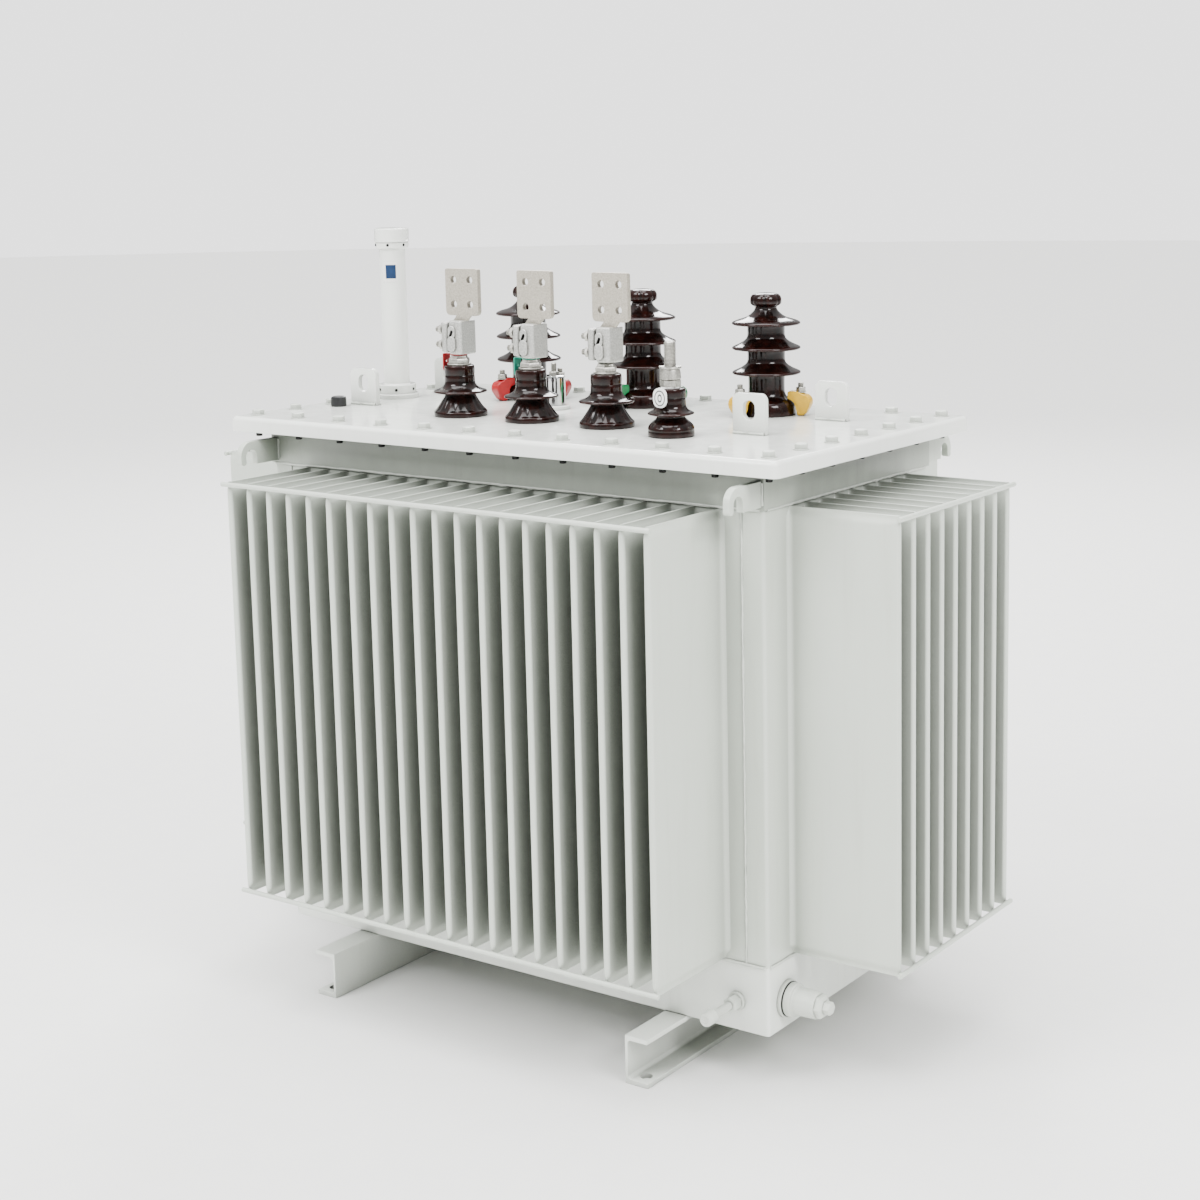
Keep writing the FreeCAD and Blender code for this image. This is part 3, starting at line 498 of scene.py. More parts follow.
# %% Brown glaze
def brown_glaze():
    material, tree, shader = finish_named("brown_glazed_porcelain", IOR=1.36)
    place = add_node(tree, "ShaderNodeTexCoord").outputs["Object"]
    flow = add_node(tree, "ShaderNodeTexNoise",
                    {"Vector": place, "Scale": per(14), "Detail": 4.0})
    edge = add_node(tree, "ShaderNodeNewGeometry")
    thin = add_node(tree, "ShaderNodeMapRange",
                    {"Value": edge.outputs["Pointiness"], "From Min": 0.5,
                     "From Max": 0.56, "To Min": 0.0, "To Max": 0.4})
    blend = add_node(tree, "ShaderNodeMath",
                     {0: flow.outputs["Fac"], 1: thin.outputs["Result"]}, operation="ADD")
    ramp = add_node(tree, "ShaderNodeValToRGB", {"Fac": blend.outputs["Value"]})
    ramp.color_ramp.elements[0].position = 0.4
    ramp.color_ramp.elements[0].color = linear("#090403")
    ramp.color_ramp.elements[1].position = 0.95
    ramp.color_ramp.elements[1].color = linear("#260D09")
    tree.links.new(ramp.outputs["Color"], shader.inputs["Base Color"])
    shader.inputs["Roughness"].default_value = 0.13
    bump = add_node(tree, "ShaderNodeBump",
                    {"Height": flow.outputs["Fac"], "Strength": 0.3, "Distance": 0.0008})
    tree.links.new(bump.outputs["Normal"], shader.inputs["Normal"])
    return material


glaze = brown_glaze()
print("made", glaze.name)

# %% [markdown]
# ### Bare metals
# The palms are tinned copper: warm grey, dull, with a fine speckle from the bath. The clamps
# are sand cast and tinned, so they are brighter and grainy. Studs and nuts are zinc plated
# steel, a little bluer. The tap changer's cap is polished steel. A metal keeps the default
# IOR, and its colour is its reflection.

# %% Metals
# How far the painted shade in metal creases reaches, and its colour.
CREASE_SHADE_REACH = 14
CREASE_SHADE_COLOUR = "#33312D"


def metal(name, dark, light, roughness, grain, depth, spread=0.12):
    """Metal whose tone, gloss and surface vary with a grain of so many millimetres."""
    material, tree, shader = finish_named(name, Metallic=1.0)
    place = add_node(tree, "ShaderNodeTexCoord").outputs["Object"]
    speck = add_node(tree, "ShaderNodeTexNoise",
                     {"Vector": place, "Scale": per(grain), "Detail": 5.0,
                      "Roughness": 0.6})
    ramp = add_node(tree, "ShaderNodeValToRGB", {"Fac": speck.outputs["Fac"]})
    ramp.color_ramp.elements[0].position = 0.3
    ramp.color_ramp.elements[0].color = linear(dark)
    ramp.color_ramp.elements[1].position = 0.65
    ramp.color_ramp.elements[1].color = linear(light)
    # Painted shade: the metal's colour darkens in creases where other surfaces stand close.
    shaded_colour = with_painted_shade(tree, ramp.outputs["Color"], CREASE_SHADE_REACH, CREASE_SHADE_COLOUR)
    tree.links.new(shaded_colour, shader.inputs["Base Color"])
    gloss = add_node(tree, "ShaderNodeMapRange",
                     {"Value": speck.outputs["Fac"], "From Min": 0.3, "From Max": 0.7,
                      "To Min": roughness + spread, "To Max": roughness})
    tree.links.new(gloss.outputs["Result"], shader.inputs["Roughness"])
    bump = add_node(tree, "ShaderNodeBump",
                    {"Height": speck.outputs["Fac"], "Strength": 0.5,
                     "Distance": depth * MM})
    tree.links.new(bump.outputs["Normal"], shader.inputs["Normal"])
    return material


tinned_copper = metal("tinned_copper_plate", "#A8A296", "#C8C2B6", 0.52, 2.5, 0.2)
cast_tin = metal("tinned_sand_casting", "#A2A29E", "#CFCFCB", 0.5, 2.2, 1.0)
zinc_plate = metal("zinc_plated_steel", "#98968F", "#C6C4BD", 0.36, 3, 0.3)
dark_steel = metal("blackened_steel", "#1F2020", "#3C3C3B", 0.4, 2, 0.2)
polished = metal("bright_polished_steel", "#D6D8DA", "#EEF0F1", 0.07, 25, 0.03, spread=0.04)
print("metals:", tinned_copper.name, cast_tin.name, zinc_plate.name, polished.name)

# %% [markdown]
# ### Plastics, rubber and brushed phase colours
# Tags and caps are moulded or punched plastic, with a fine satin skin. The claws are dipped
# in the three phase colours, which leaves a thick coat with sags.

# %% Plastics and coats
def coat(name, colour, shade, roughness, grain, depth, ior=1.5):
    """A coloured skin: two tones, slightly uneven gloss and a grain."""
    material, tree, shader = finish_named(name, IOR=ior)
    place = add_node(tree, "ShaderNodeTexCoord").outputs["Object"]
    spots = add_node(tree, "ShaderNodeTexNoise",
                     {"Vector": place, "Scale": per(grain), "Detail": 4.0})
    tone = add_node(tree, "ShaderNodeMix",
                    {"Factor": spots.outputs["Fac"], MIX_A: linear(shade),
                     MIX_B: linear(colour)}, data_type="RGBA")
    tree.links.new(tone.outputs[MIXED], shader.inputs["Base Color"])
    gloss = add_node(tree, "ShaderNodeMapRange",
                     {"Value": spots.outputs["Fac"], "To Min": roughness - 0.05,
                      "To Max": roughness + 0.1})
    tree.links.new(gloss.outputs["Result"], shader.inputs["Roughness"])
    bump = add_node(tree, "ShaderNodeBump",
                    {"Height": spots.outputs["Fac"], "Strength": 0.4,
                     "Distance": depth * MM})
    tree.links.new(bump.outputs["Normal"], shader.inputs["Normal"])
    return material


phase_red = coat("red_dip_coat", "#A80612", "#76040A", 0.3, 7, 0.8)
phase_green = coat("green_dip_coat", "#0F8148", "#0A5A34", 0.3, 7, 0.8)
phase_yellow = coat("yellow_dip_coat", "#DDAE00", "#B58A00", 0.3, 7, 0.8)
red_tag = coat("red_pvc_tag", "#BA111E", "#920B15", 0.42, 4, 0.1)
teal_tag = coat("teal_pvc_tag", "#22A489", "#178A72", 0.42, 4, 0.1)
white_tag = coat("white_pvc_tag", "#F3F3F0", "#E4E4E0", 0.4, 4, 0.1)
black_cap = coat("black_moulded_nylon", "#17181A", "#0B0B0C", 0.35, 3, 0.15)
gasket_rubber = coat("black_nitrile_rubber", "#191919", "#0C0C0C", 0.6, 2, 0.1)
level_glass = coat("blue_tinted_acrylic", "#07305A", "#041E3B", 0.2, 9, 0.05)
print("coats:", phase_red.name, phase_green.name, phase_yellow.name, level_glass.name)

# %% [markdown]
# ## Putting a piece in its place
# Every piece gets its finish, rides on the tank, which doesn't move, and stands for the CAD
# nodes that it hides. The sizes of the last pieces are printed, to hold against the CAD.

# %% Paint and seat
def painted(piece, material):
    piece.data.materials.clear()
    piece.data.materials.append(material)
    return piece


seated = []


def seat(piece, slot, *nodes):
    """Rides on the tank and stands for its CAD nodes; the slot argument is not used."""
    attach(piece, "root")
    if nodes:
        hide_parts(*nodes)
    seated.append(piece)
    return piece


def latest(count=1):
    """Name, size in millimetres and faces of the pieces seated last."""
    lines = []
    for piece in seated[-count:]:
        corners = [vertex.co / MM for vertex in piece.data.vertices]
        sides = [round(max(along_axis) - min(along_axis)) for along_axis in zip(*corners)]
        lines.append((piece.name, sides, len(piece.data.polygons)))
    return lines


print("finishes ready:", len(bpy.data.materials))

# %% [markdown]
# ## The camera and the light
# The camera is made early, so that every piece is looked at from the right place. Its
# direction, distance and lens come from solving the view against known edges of the tank.

# %% Camera
VIEW_AZIMUTH = 33.243
VIEW_ELEVATION = 9.013
VIEW_ROLL = -0.667
VIEW_DISTANCE = 3381.9
VIEW_TARGET = (319.3, 0, 906.4)
SENSOR = 36
LENS = 61.839
SHIFT_X = -0.125
SHIFT_Y = -0.1

azimuth = math.radians(VIEW_AZIMUTH)
elevation = math.radians(VIEW_ELEVATION)
back = Vector((math.sin(azimuth) * math.cos(elevation),
               -math.cos(azimuth) * math.cos(elevation), math.sin(elevation)))
bpy.ops.object.camera_add(location=(Vector(VIEW_TARGET) + back * VIEW_DISTANCE) * MM)
camera = bpy.context.active_object
camera.name = "camera"
camera.rotation_mode = "XYZ"
camera.rotation_euler = (math.radians(90 - VIEW_ELEVATION), 0, azimuth)
camera.rotation_euler.rotate_axis("Z", math.radians(VIEW_ROLL))
camera.data.sensor_width = SENSOR
camera.data.lens = LENS
camera.data.shift_x = SHIFT_X
camera.data.shift_y = SHIFT_Y
bpy.context.scene.camera = camera
print("lens", round(camera.data.lens, 2), "shift", round(camera.data.shift_x, 3))

# %% [markdown]
# The floor is a pale disc, so wide that its edge is only a faint horizon. It is staging and
# no part of the transformer.

# %% Floor
FLOOR_RADIUS = 30000

bpy.ops.object.select_all(action="DESELECT")
bpy.ops.mesh.primitive_circle_add(vertices=96, radius=FLOOR_RADIUS * MM,
                                  fill_type="NGON", location=(0, 0, cad_low.z))
floor = added("studio_floor")
floor_finish = coat("pale_matt_floor", "#E8E8E6", "#E3E3E1", 0.7, 60, 0.05)
painted(floor, floor_finish)
print("floor at", round(cad_low.z / MM, 2), "mm")

# %% [markdown]
# The light is a pale room. Three soft boxes stand in front on the left, on the right and
# behind, and a wide sun overhead lights the whole floor evenly, so that shadows are soft and
# the enamel stays pale.

# %% Soft light
def softbox(name, spot, target, width, height, power):
    """A rectangle of light that faces its target; places in metres."""
    bpy.ops.object.light_add(type="AREA", location=spot)
    lamp = bpy.context.active_object
    lamp.name = name
    lamp.data.shape = "RECTANGLE"
    lamp.data.size = width
    lamp.data.size_y = height
    lamp.data.energy = power
    aim = Vector(target) - Vector(spot)
    lamp.rotation_euler = aim.to_track_quat("-Z", "Y").to_euler()
    return lamp


def wide_sun(name, direction, strength, softness):
    """A distant light that reaches the whole floor evenly."""
    bpy.ops.object.light_add(type="SUN")
    lamp = bpy.context.active_object
    lamp.name = name
    lamp.data.energy = strength
    lamp.data.angle = math.radians(softness)
    lamp.rotation_euler = Vector(direction).to_track_quat("-Z", "Y").to_euler()
    return lamp


TANK_MIDDLE = (0, 0, 0.7)
softbox("key_box", (-1.6, -4.2, 4.6), TANK_MIDDLE, 2.6, 2.0, 350)
softbox("side_box", (4.6, -1.4, 4.0), TANK_MIDDLE, 2.0, 2.0, 340)
softbox("back_box", (-2.8, 4.4, 4.0), TANK_MIDDLE, 2.4, 2.0, 340)
wide_sun("overhead", (0.05, 0.12, -1), 5.4, 50)
print("lamps:", len(bpy.data.lights))

# %% [markdown]
# The sky shines more from above than from the horizon, as a white ceiling does. The camera
# sees it at one even level, about as bright as the floor, so the background stays plain.

# %% Sky
SKY_LOW = 0.4
SKY_HIGH = 1.3
SKY_SEEN = 2.45
world = bpy.data.worlds.new("pale_room")
world.use_nodes = True
sky = world.node_tree
way = add_node(sky, "ShaderNodeTexCoord").outputs["Generated"]
height = add_node(sky, "ShaderNodeSeparateXYZ", {"Vector": way}).outputs["Z"]
glow = add_node(sky, "ShaderNodeMapRange",
                {"Value": height, "From Min": 0.0, "From Max": 0.9,
                 "To Min": SKY_LOW, "To Max": SKY_HIGH}).outputs["Result"]
seen = add_node(sky, "ShaderNodeLightPath").outputs["Is Camera Ray"]
level = add_node(sky, "ShaderNodeMix", {"Factor": seen, "A": glow, "B": SKY_SEEN})
sky.links.new(level.outputs["Result"], sky.nodes["Background"].inputs["Strength"])
sky.nodes["Background"].inputs["Color"].default_value = linear("#FFFFFF")
bpy.context.scene.world = world
print("sky from", SKY_LOW, "to", SKY_HIGH)

# %% [markdown]
# ## The corrugated walls
# Each tank wall is one thin sheet, folded over and over into hollow cooling fins. Warm oil
# cools and sinks inside them. A folding machine leaves a round outer edge and a bend at the
# root, and the open ends are squeezed flat and welded, which gives every fin a tongue-shaped
# crease top and bottom. One fin is modelled from a box, sliced into loops that are pinched
# for the squeezed ends and spread for the root bend, then an array repeats it, because all
# the fins of a wall come from one tool.

# %% Sizes of the folded fins
FIN_PITCH = 45
FIN_THICKNESS = 12
FIN_EDGE = 5
FIN_INTO_SHEET = 1.5
FRONT_FINS = 20
SIDE_FINS = 9
SHEET_THICKNESS = 3
WALL_LOW, WALL_HIGH = (level.z for level in limits("corrugated_wall_front"))
FIN_LOW = WALL_LOW + 3
FIN_HIGH = WALL_HIGH - 3
SQUEEZED = ((0, 4.0), (2.5, 4.0), (5, 4.6), (8, 6.6), (11, 9.0), (14, 10.9), (18, 12.0))
ROOT_BEND = ((0, 2.1), (1.2, 1.62), (3, 1.28), (5.5, 1.08), (9, 1.0))
print("fins from", FIN_LOW, "to", FIN_HIGH, "mm")

# %% One fin
def folded_fin(name, face, depth):
    """A hollow fin that stands out from the plane y = -face."""
    fin = block(name, FIN_THICKNESS, depth + FIN_INTO_SHEET, FIN_HIGH - FIN_LOW,
                (0, -face - (depth - FIN_INTO_SHEET) / 2, FIN_LOW))
    edit(fin)
    pick(fin, "EDGE", lambda middle, edge: along(edge, "Z") and near(middle.y, -face - depth))
    bevel(FIN_EDGE, 4)
    for rise, _ in SQUEEZED[1:]:
        slice_at(FIN_LOW + rise, "Z")
        slice_at(FIN_HIGH - rise, "Z")
    for reach, _ in ROOT_BEND:
        slice_at(-face - reach, "Y")
    for rise, width in SQUEEZED:
        share = (width / FIN_THICKNESS, 1, 1)
        for level in (FIN_LOW + rise, FIN_HIGH - rise):
            pick(fin, "VERT", lambda middle, part: near(middle.z, level))
            bpy.ops.transform.resize(value=share, center_override=(0, 0, 0))
    for reach, spread in ROOT_BEND:
        pick(fin, "VERT", lambda middle, part: near(middle.y, -face - reach))
        bpy.ops.transform.resize(value=(spread, 1, 1), center_override=(0, 0, 0))
    outward()
    done()
    return fin


print("a fin of", FIN_THICKNESS, "mm is squeezed to", SQUEEZED[0][1], "mm at its ends")

# %% [markdown]
# A wall is a flat sheet and a row of fins. It is drawn facing the front, where it is easy to
# think about, and then turned to its own side.

# %% One wall
def folded_wall(name, sheet, face, depth, count, angle):
    """Joins a sheet and a row of fins, drawn facing -Y, and turns them into place."""
    fins = folded_fin(name + "_fins", face, depth)
    move(fins, x=-(count - 1) * FIN_PITCH / 2)
    apply(fins, "ARRAY", count=count, use_relative_offset=False,
          use_constant_offset=True, constant_offset_displace=(FIN_PITCH * MM, 0, 0))
    wall = joined(name, [sheet, fins])
    painted(wall, tank_enamel)
    turn(wall, angle)
    return smooth(wall, 32)


print("a front row is", (FRONT_FINS - 1) * FIN_PITCH + FIN_THICKNESS, "mm long")

# %% The two long walls
long_low, long_high = limits("corrugated_wall_front")
end_high = limits("corrugated_wall_right")[1]
FRONT_FACE = end_high.y
SIDE_FACE = (limits("bottom_pan")[1]).x
SEAM = long_high.x
for name, node, angle in (("tank_wall_front", "corrugated_wall_front", 0),
                          ("tank_wall_back", "corrugated_wall_back", 180)):
    sheet = block(name + "_sheet", 2 * SEAM, SHEET_THICKNESS, WALL_HIGH - WALL_LOW,
                  (0, -FRONT_FACE + SHEET_THICKNESS / 2, WALL_LOW))
    wall = folded_wall(name, sheet, FRONT_FACE, -long_low.y - FRONT_FACE,
                       FRONT_FINS, angle)
    seat(wall, "tank_paint", node)
print(latest(2))

# %% [markdown]
# The end walls are folded round the tank's corners and butt against the long walls at an
# upright seam, so their sheet is a shallow tray: a box with rounded corners whose inner face
# is deleted and whose skin is given its thickness.

# %% The two end walls
CORNER_BEND = 6


def wrapped_sheet(name):
    wrap = SIDE_FACE - SEAM
    sheet = block(name, 2 * FRONT_FACE, wrap, WALL_HIGH - WALL_LOW,
                  (0, -SIDE_FACE + wrap / 2, WALL_LOW))
    edit(sheet)
    pick(sheet, "EDGE", lambda middle, edge: along(edge, "Z") and near(middle.y, -SIDE_FACE))
    bevel(CORNER_BEND, 5)
    pick(sheet, "FACE", lambda middle, face: near(middle.y, -SEAM) or abs(face.normal.z) > 0.9)
    bpy.ops.mesh.delete(type="FACE")
    done()
    return apply(sheet, "SOLIDIFY", thickness=SHEET_THICKNESS * MM, offset=-1)


for name, node, angle in (("tank_wall_right", "corrugated_wall_right", 90),
                          ("tank_wall_left", "corrugated_wall_left", -90)):
    wall = folded_wall(name, wrapped_sheet(name + "_sheet"), SIDE_FACE,
                       end_high.x - SIDE_FACE, SIDE_FINS, angle)
    seat(wall, "tank_paint", node)
print(latest(2))

# %% [markdown]
# ## The stiffening rods
# Two round bars run across the tips of each row, welded to every fin, so that the pressure
# of warm oil can't spread the thin walls. Each bar is a cylinder with broken ends, and each
# weld is one small flattened drop, modelled once and copied by an array.

# %% Rods and their welds
ROD_OVERHANG = 11
DROP_RADIUS = 3.4
DROP_SHAPE = (1.5, 0.8, 1)
DROP_ROUGHNESS = 0.5


def stiffening_rods(name, node, count, angle):
    low, high = limits(node)
    size = high - low
    radius = min(size.x, size.y) / 2
    axis = 1 if angle in (0, 180) else 0
    reach = max(abs(low[axis]), abs(high[axis])) - radius
    span = (count - 1) * FIN_PITCH + 2 * ROD_OVERHANG
    parts = []
    for level in (low.z + radius, high.z - radius):
        bar = rod(name + "_bar", radius, span, (0, 0, -span / 2), sides=20)
        turn(bar, 90, "Y")
        soften(bar, 0.9, 2)
        parts.append(move(bar, 0, -reach, level))
        bpy.ops.object.select_all(action="DESELECT")
        bpy.ops.mesh.primitive_uv_sphere_add(
            segments=8, ring_count=5, radius=DROP_RADIUS * MM, scale=DROP_SHAPE)
        drop = added(name + "_weld")
        edit(drop)
        bpy.ops.transform.vertex_random(offset=DROP_ROUGHNESS * MM, seed=7)
        done()
        move(drop, -(count - 1) * FIN_PITCH / 2, -reach + radius, level)
        apply(drop, "ARRAY", count=count, use_relative_offset=False,
              use_constant_offset=True, constant_offset_displace=(FIN_PITCH * MM, 0, 0))
        parts.append(drop)
    bars = joined(name, parts)
    painted(bars, tank_enamel)
    turn(bars, angle)
    return smooth(bars, 40)


for side, count, angle in (("front", FRONT_FINS, 0), ("back", FRONT_FINS, 180),
                           ("right", SIDE_FINS, 90), ("left", SIDE_FINS, -90)):
    bars = stiffening_rods("rods_" + side, "fin_rods_" + side, count, angle)
    seat(bars, "tank_paint", "fin_rods_" + side)
print(latest(4))

# %% [markdown]
# ## The bottom pan
# A tray folded and welded from thicker plate closes the tank below the fins. It is a box
# with four bent corners, its top face deleted and its skin given a thickness. The valves
# that screw into it are made at the end.

# %% Pan
PAN_CORNER = 6
PAN_FOLD = 2.5
PAN_PLATE = 4
pan_low, pan_high = limits("bottom_pan")
pan_size = pan_high - pan_low
pan = block("bottom_pan_tray", pan_size.x, pan_size.y, pan_size.z, foot("bottom_pan"))
edit(pan)
pick(pan, "EDGE", lambda middle, edge: along(edge, "Z"))
bevel(PAN_CORNER, 5)
pick(pan, "FACE", lambda middle, face: near(middle.z, pan_high.z))
bpy.ops.mesh.delete(type="FACE")
pick(pan, "EDGE", lambda middle, edge: near(middle.z, pan_low.z))
bevel(PAN_FOLD, 3)
done()
apply(pan, "SOLIDIFY", thickness=PAN_PLATE * MM, offset=-1)
# The paler copy of the enamel: painted light on the pan.
painted(pan, base_lit_enamel)
smooth(pan, 32)
seat(pan, "tank_paint", "bottom_pan")
print(latest())

# %% [markdown]
# ## The base channels
# Two rolled steel channels carry the tank and are bolted down through a hole near each end.
# The outline of a channel is the same all along, so it is drawn once and pushed out. Rolling
# leaves a round inner corner, so those two long edges are bevelled before the holes are cut.

# %% Channels
CHANNEL_WEB = 5
CHANNEL_FLANGE = 8
CHANNEL_ROOT = 6
HOLE_RADIUS = 10
HOLE_IN = 24
HOLE_END = 23


def base_channel(name, node, side):
    low, high = limits(node)
    web, tip = (low.x, high.x) if side > 0 else (high.x, low.x)
    inner = web + side * CHANNEL_WEB
    top = high.z
    outline = [(web, 0), (tip, 0), (tip, CHANNEL_FLANGE), (inner, CHANNEL_FLANGE),
               (inner, top - CHANNEL_FLANGE), (tip, top - CHANNEL_FLANGE), (tip, top),
               (web, top)]
    channel = pushed(name, outline, high.y - low.y)
    edit(channel)
    pick(channel, "EDGE", lambda middle, edge: along(edge, "Y") and near(middle.x, inner))
    bevel(CHANNEL_ROOT, 5)
    done()
    soften(channel, 1.2, 2, angle=50)
    for end in (-1, 1):
        drill = rod("drill", HOLE_RADIUS, 40, (web + side * HOLE_IN,
                    end * (high.y - HOLE_END), -20), sides=32)
        cut(channel, drill)
    # The paler copy of the enamel: painted light on the channels.
    painted(channel, base_lit_enamel)
    return smooth(channel, 32)


seat(base_channel("channel_right", "base_channel_right", 1), "tank_paint",
     "base_channel_right")
seat(base_channel("channel_left", "base_channel_left", -1), "tank_paint",
     "base_channel_left")
print(latest(2))

# %% [markdown]
# ## The frame under the cover
# A band and a flange of flat bar run round the top of the tank. The CAD shape is already
# right, so the node stays and only gets its finish.

# %% Frame finish
# The band takes the darker copy of the enamel, a painted shade under the cover.
painted(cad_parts["top_frame"], curb_shaded_enamel)
print("top_frame slots", len(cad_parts["top_frame"].material_slots))

# %% [markdown]
# ## The cover
# The lid is a pressed plate with a rim turned down all round. A box gets its four upright
# corners rounded first and then its top edge, so that the rounding runs on round the
# corners; the underside is deleted and the skin gets its thickness.

# %% Cover
COVER_CORNER = 12
COVER_EDGE = 8
COVER_SKIN = 6
cover_low, cover_high = limits("cover")
cover_size = cover_high - cover_low
lid = block("tank_lid", cover_size.x, cover_size.y, cover_size.z, foot("cover"))
edit(lid)
pick(lid, "EDGE", lambda middle, edge: along(edge, "Z"))
bevel(COVER_CORNER, 8)
pick(lid, "EDGE", lambda middle, edge: near(middle.z, cover_high.z))
bevel(COVER_EDGE, 6)
pick(lid, "FACE", lambda middle, face: near(middle.z, cover_low.z))
bpy.ops.mesh.delete(type="FACE")
done()
apply(lid, "SOLIDIFY", thickness=COVER_SKIN * MM, offset=-1)
soften(lid, 0.8, 2, angle=60)
# The palest copy of the enamel: painted light from above on the lid.
painted(lid, cover_lit_enamel)
smooth(lid, 32)
seat(lid, "cover_paint", "cover")
COVER_TOP = cover_high.z
print(latest())

# %% [markdown]
# ## The cover bolts
# Thirty-four bolts hold the cover down, painted over with the rest. One is built from a
# washer, a chamfered head and, below the flange, a nut and the bolt's end. Copies are set
# along the four sides, each turned a little, as spanners leave them.

# %% One bolt
WASHER_RADIUS = 12
WASHER_TALL = 2
HEAD_CORNER = 10.9
HEAD_TALL = 8
NUT_TALL = 10
END_RADIUS = 5.6
FRAME_FLANGE = 8
bolts_low, bolts_high = limits("cover_bolts")
NUT_TOP = limits("top_frame")[1].z - FRAME_FLANGE
NUT_LOW = NUT_TOP - NUT_TALL


def cover_bolt():
    washer = spun("bolt_washer", [(6, 0), (WASHER_RADIUS, 0), (WASHER_RADIUS, 1.5),
                                  (WASHER_RADIUS - 0.5, WASHER_TALL), (6, WASHER_TALL)],
                  sides=24)
    move(washer, z=COVER_TOP)
    head = hexagon("bolt_head", HEAD_CORNER, HEAD_TALL, (0, 0, COVER_TOP + WASHER_TALL))
    nut = hexagon("bolt_nut", HEAD_CORNER, NUT_TALL, (0, 0, NUT_LOW), chamfer=0.8)
    end = rod("bolt_end", END_RADIUS, NUT_LOW - bolts_low.z + 1, (0, 0, bolts_low.z), sides=16)
    soften(end, 0.8, 1)
    painted(washer, bolt_enamel)
    painted(head, bolt_enamel)
    painted(nut, dark_steel)
    painted(end, dark_steel)
    return smooth(joined("cover_bolt", [head, washer, nut, end]), 28)


print("nut from", round(NUT_LOW, 1), "to", round(NUT_TOP, 1), "mm")

# %% All the bolts
BOLTS_ALONG = 12
BOLTS_ACROSS = 7
BOLT_X = bolts_high.x - WASHER_RADIUS
BOLT_Y = bolts_high.y - WASHER_RADIUS
SPANNER_STEP = 37
HEX_STEP = 60

spots = []
for number in range(BOLTS_ALONG):
    share = 2 * number / (BOLTS_ALONG - 1) - 1
    spots += [(share * BOLT_X, -BOLT_Y), (share * BOLT_X, BOLT_Y)]
for number in range(1, BOLTS_ACROSS - 1):
    share = 2 * number / (BOLTS_ACROSS - 1) - 1
    spots += [(-BOLT_X, share * BOLT_Y), (BOLT_X, share * BOLT_Y)]
pattern = cover_bolt()
bolts = []
for number, (x, y) in enumerate(spots):
    bolt = copied(pattern, "bolt")
    turn(bolt, SPANNER_STEP * number % HEX_STEP)
    bolts.append(move(bolt, x, y))
bpy.data.objects.remove(pattern)
seat(joined("lid_bolts", bolts), "bolt_paint", "cover_bolts")
print(len(spots), "bolts", latest())

# %% [markdown]
# ## Weld beads
# A bead is laid down in short overlapping puddles, so it is never quite straight or even. A
# thin bar is cut into short steps, and its points are moved a little at random, always by the
# same seed.

# %% Weld beads
BEAD_STEP = 5


def bead(name, start, end, radius=3.0):
    """A weld bead between two points: a thin bar cut into short steps and roughened."""
    run = Vector(end) - Vector(start)
    bar = rod(name, radius, run.length, sides=8)
    edit(bar)
    pick(bar, "EDGE", lambda middle, edge: along(edge, "Z"))
    bpy.ops.mesh.subdivide(number_cuts=max(2, int(run.length / BEAD_STEP)))
    bpy.ops.mesh.select_all(action="SELECT")
    bpy.ops.transform.vertex_random(offset=0.55 * MM, uniform=0.6, normal=0.4, seed=11)
    done()
    alone(bar)
    bar.rotation_mode = "QUATERNION"
    bar.rotation_quaternion = run.to_track_quat("Z", "Y")
    bar.location = Vector(start) * MM
    bpy.ops.object.transform_apply(location=True, rotation=True, scale=True)
    painted(bar, bead_enamel)
    return smooth(bar, 60)


test_bead = bead("bead_test", (0, 0, 0), (40, 0, 0))
print("a 40 mm bead has", len(test_bead.data.polygons), "faces")
bpy.data.objects.remove(test_bead)

# %% [markdown]
# ## The lifting lugs
# Four thick plates with an oblong eye are welded upright on the cover. A box gets two round
# shoulders, a stretched cylinder cuts the eye, every edge is broken, and a fillet weld runs
# along both feet.

# %% Lugs
LUG_CORNER = 12
EYE_RADIUS = 11.5
EYE_LOW = 35
EYE_HIGH = 43


def lifting_lug(name, node):
    low, high = limits(node)
    size = high - low
    x, y, z = foot(node)
    lug = block(name, size.x, size.y, size.z, (x, y, z))
    edit(lug)
    pick(lug, "EDGE", lambda middle, edge: along(edge, "Y") and near(middle.z, high.z))
    bevel(LUG_CORNER, 8)
    done()
    eye = rod("eye", EYE_RADIUS, 40, (0, 0, -20), sides=40)
    turn(eye, 90, "X")
    move(eye, x, y, z + EYE_LOW)
    edit(eye)
    pick(eye, "VERT", lambda middle, part: middle.z > z + EYE_LOW + 0.5)
    bpy.ops.transform.translate(value=(0, 0, (EYE_HIGH - EYE_LOW) * MM))
    done()
    cut(lug, eye)
    soften(lug, 1.1, 2, angle=40)
    painted(lug, cover_lit_enamel)
    smooth(lug, 35)
    welds = [bead(name + "_weld", (low.x + 2, side, z + 1), (high.x - 2, side, z + 1), 3.4)
             for side in (low.y, high.y)]
    return joined(name, [lug] + welds)


for corner in ("front_left", "front_right", "back_left", "back_right"):
    seat(lifting_lug("lug_" + corner, "lifting_lug_" + corner), "cover_paint",
         "lifting_lug_" + corner)
print(latest(4))

# %% [markdown]
# ## The lashing hooks
# A hook of flame-cut plate is welded to each corner under the cover, for the straps of a
# lorry. It is a box whose outer shoulder is rounded with a big radius, and whose mouth is cut
# by a cylinder and a box below it.

# %% Hooks
HOOK_ROUND = 24
MOUTH_RADIUS = 12
MOUTH_IN = 24
MOUTH_UP = 14
TIP_ROUND = 5


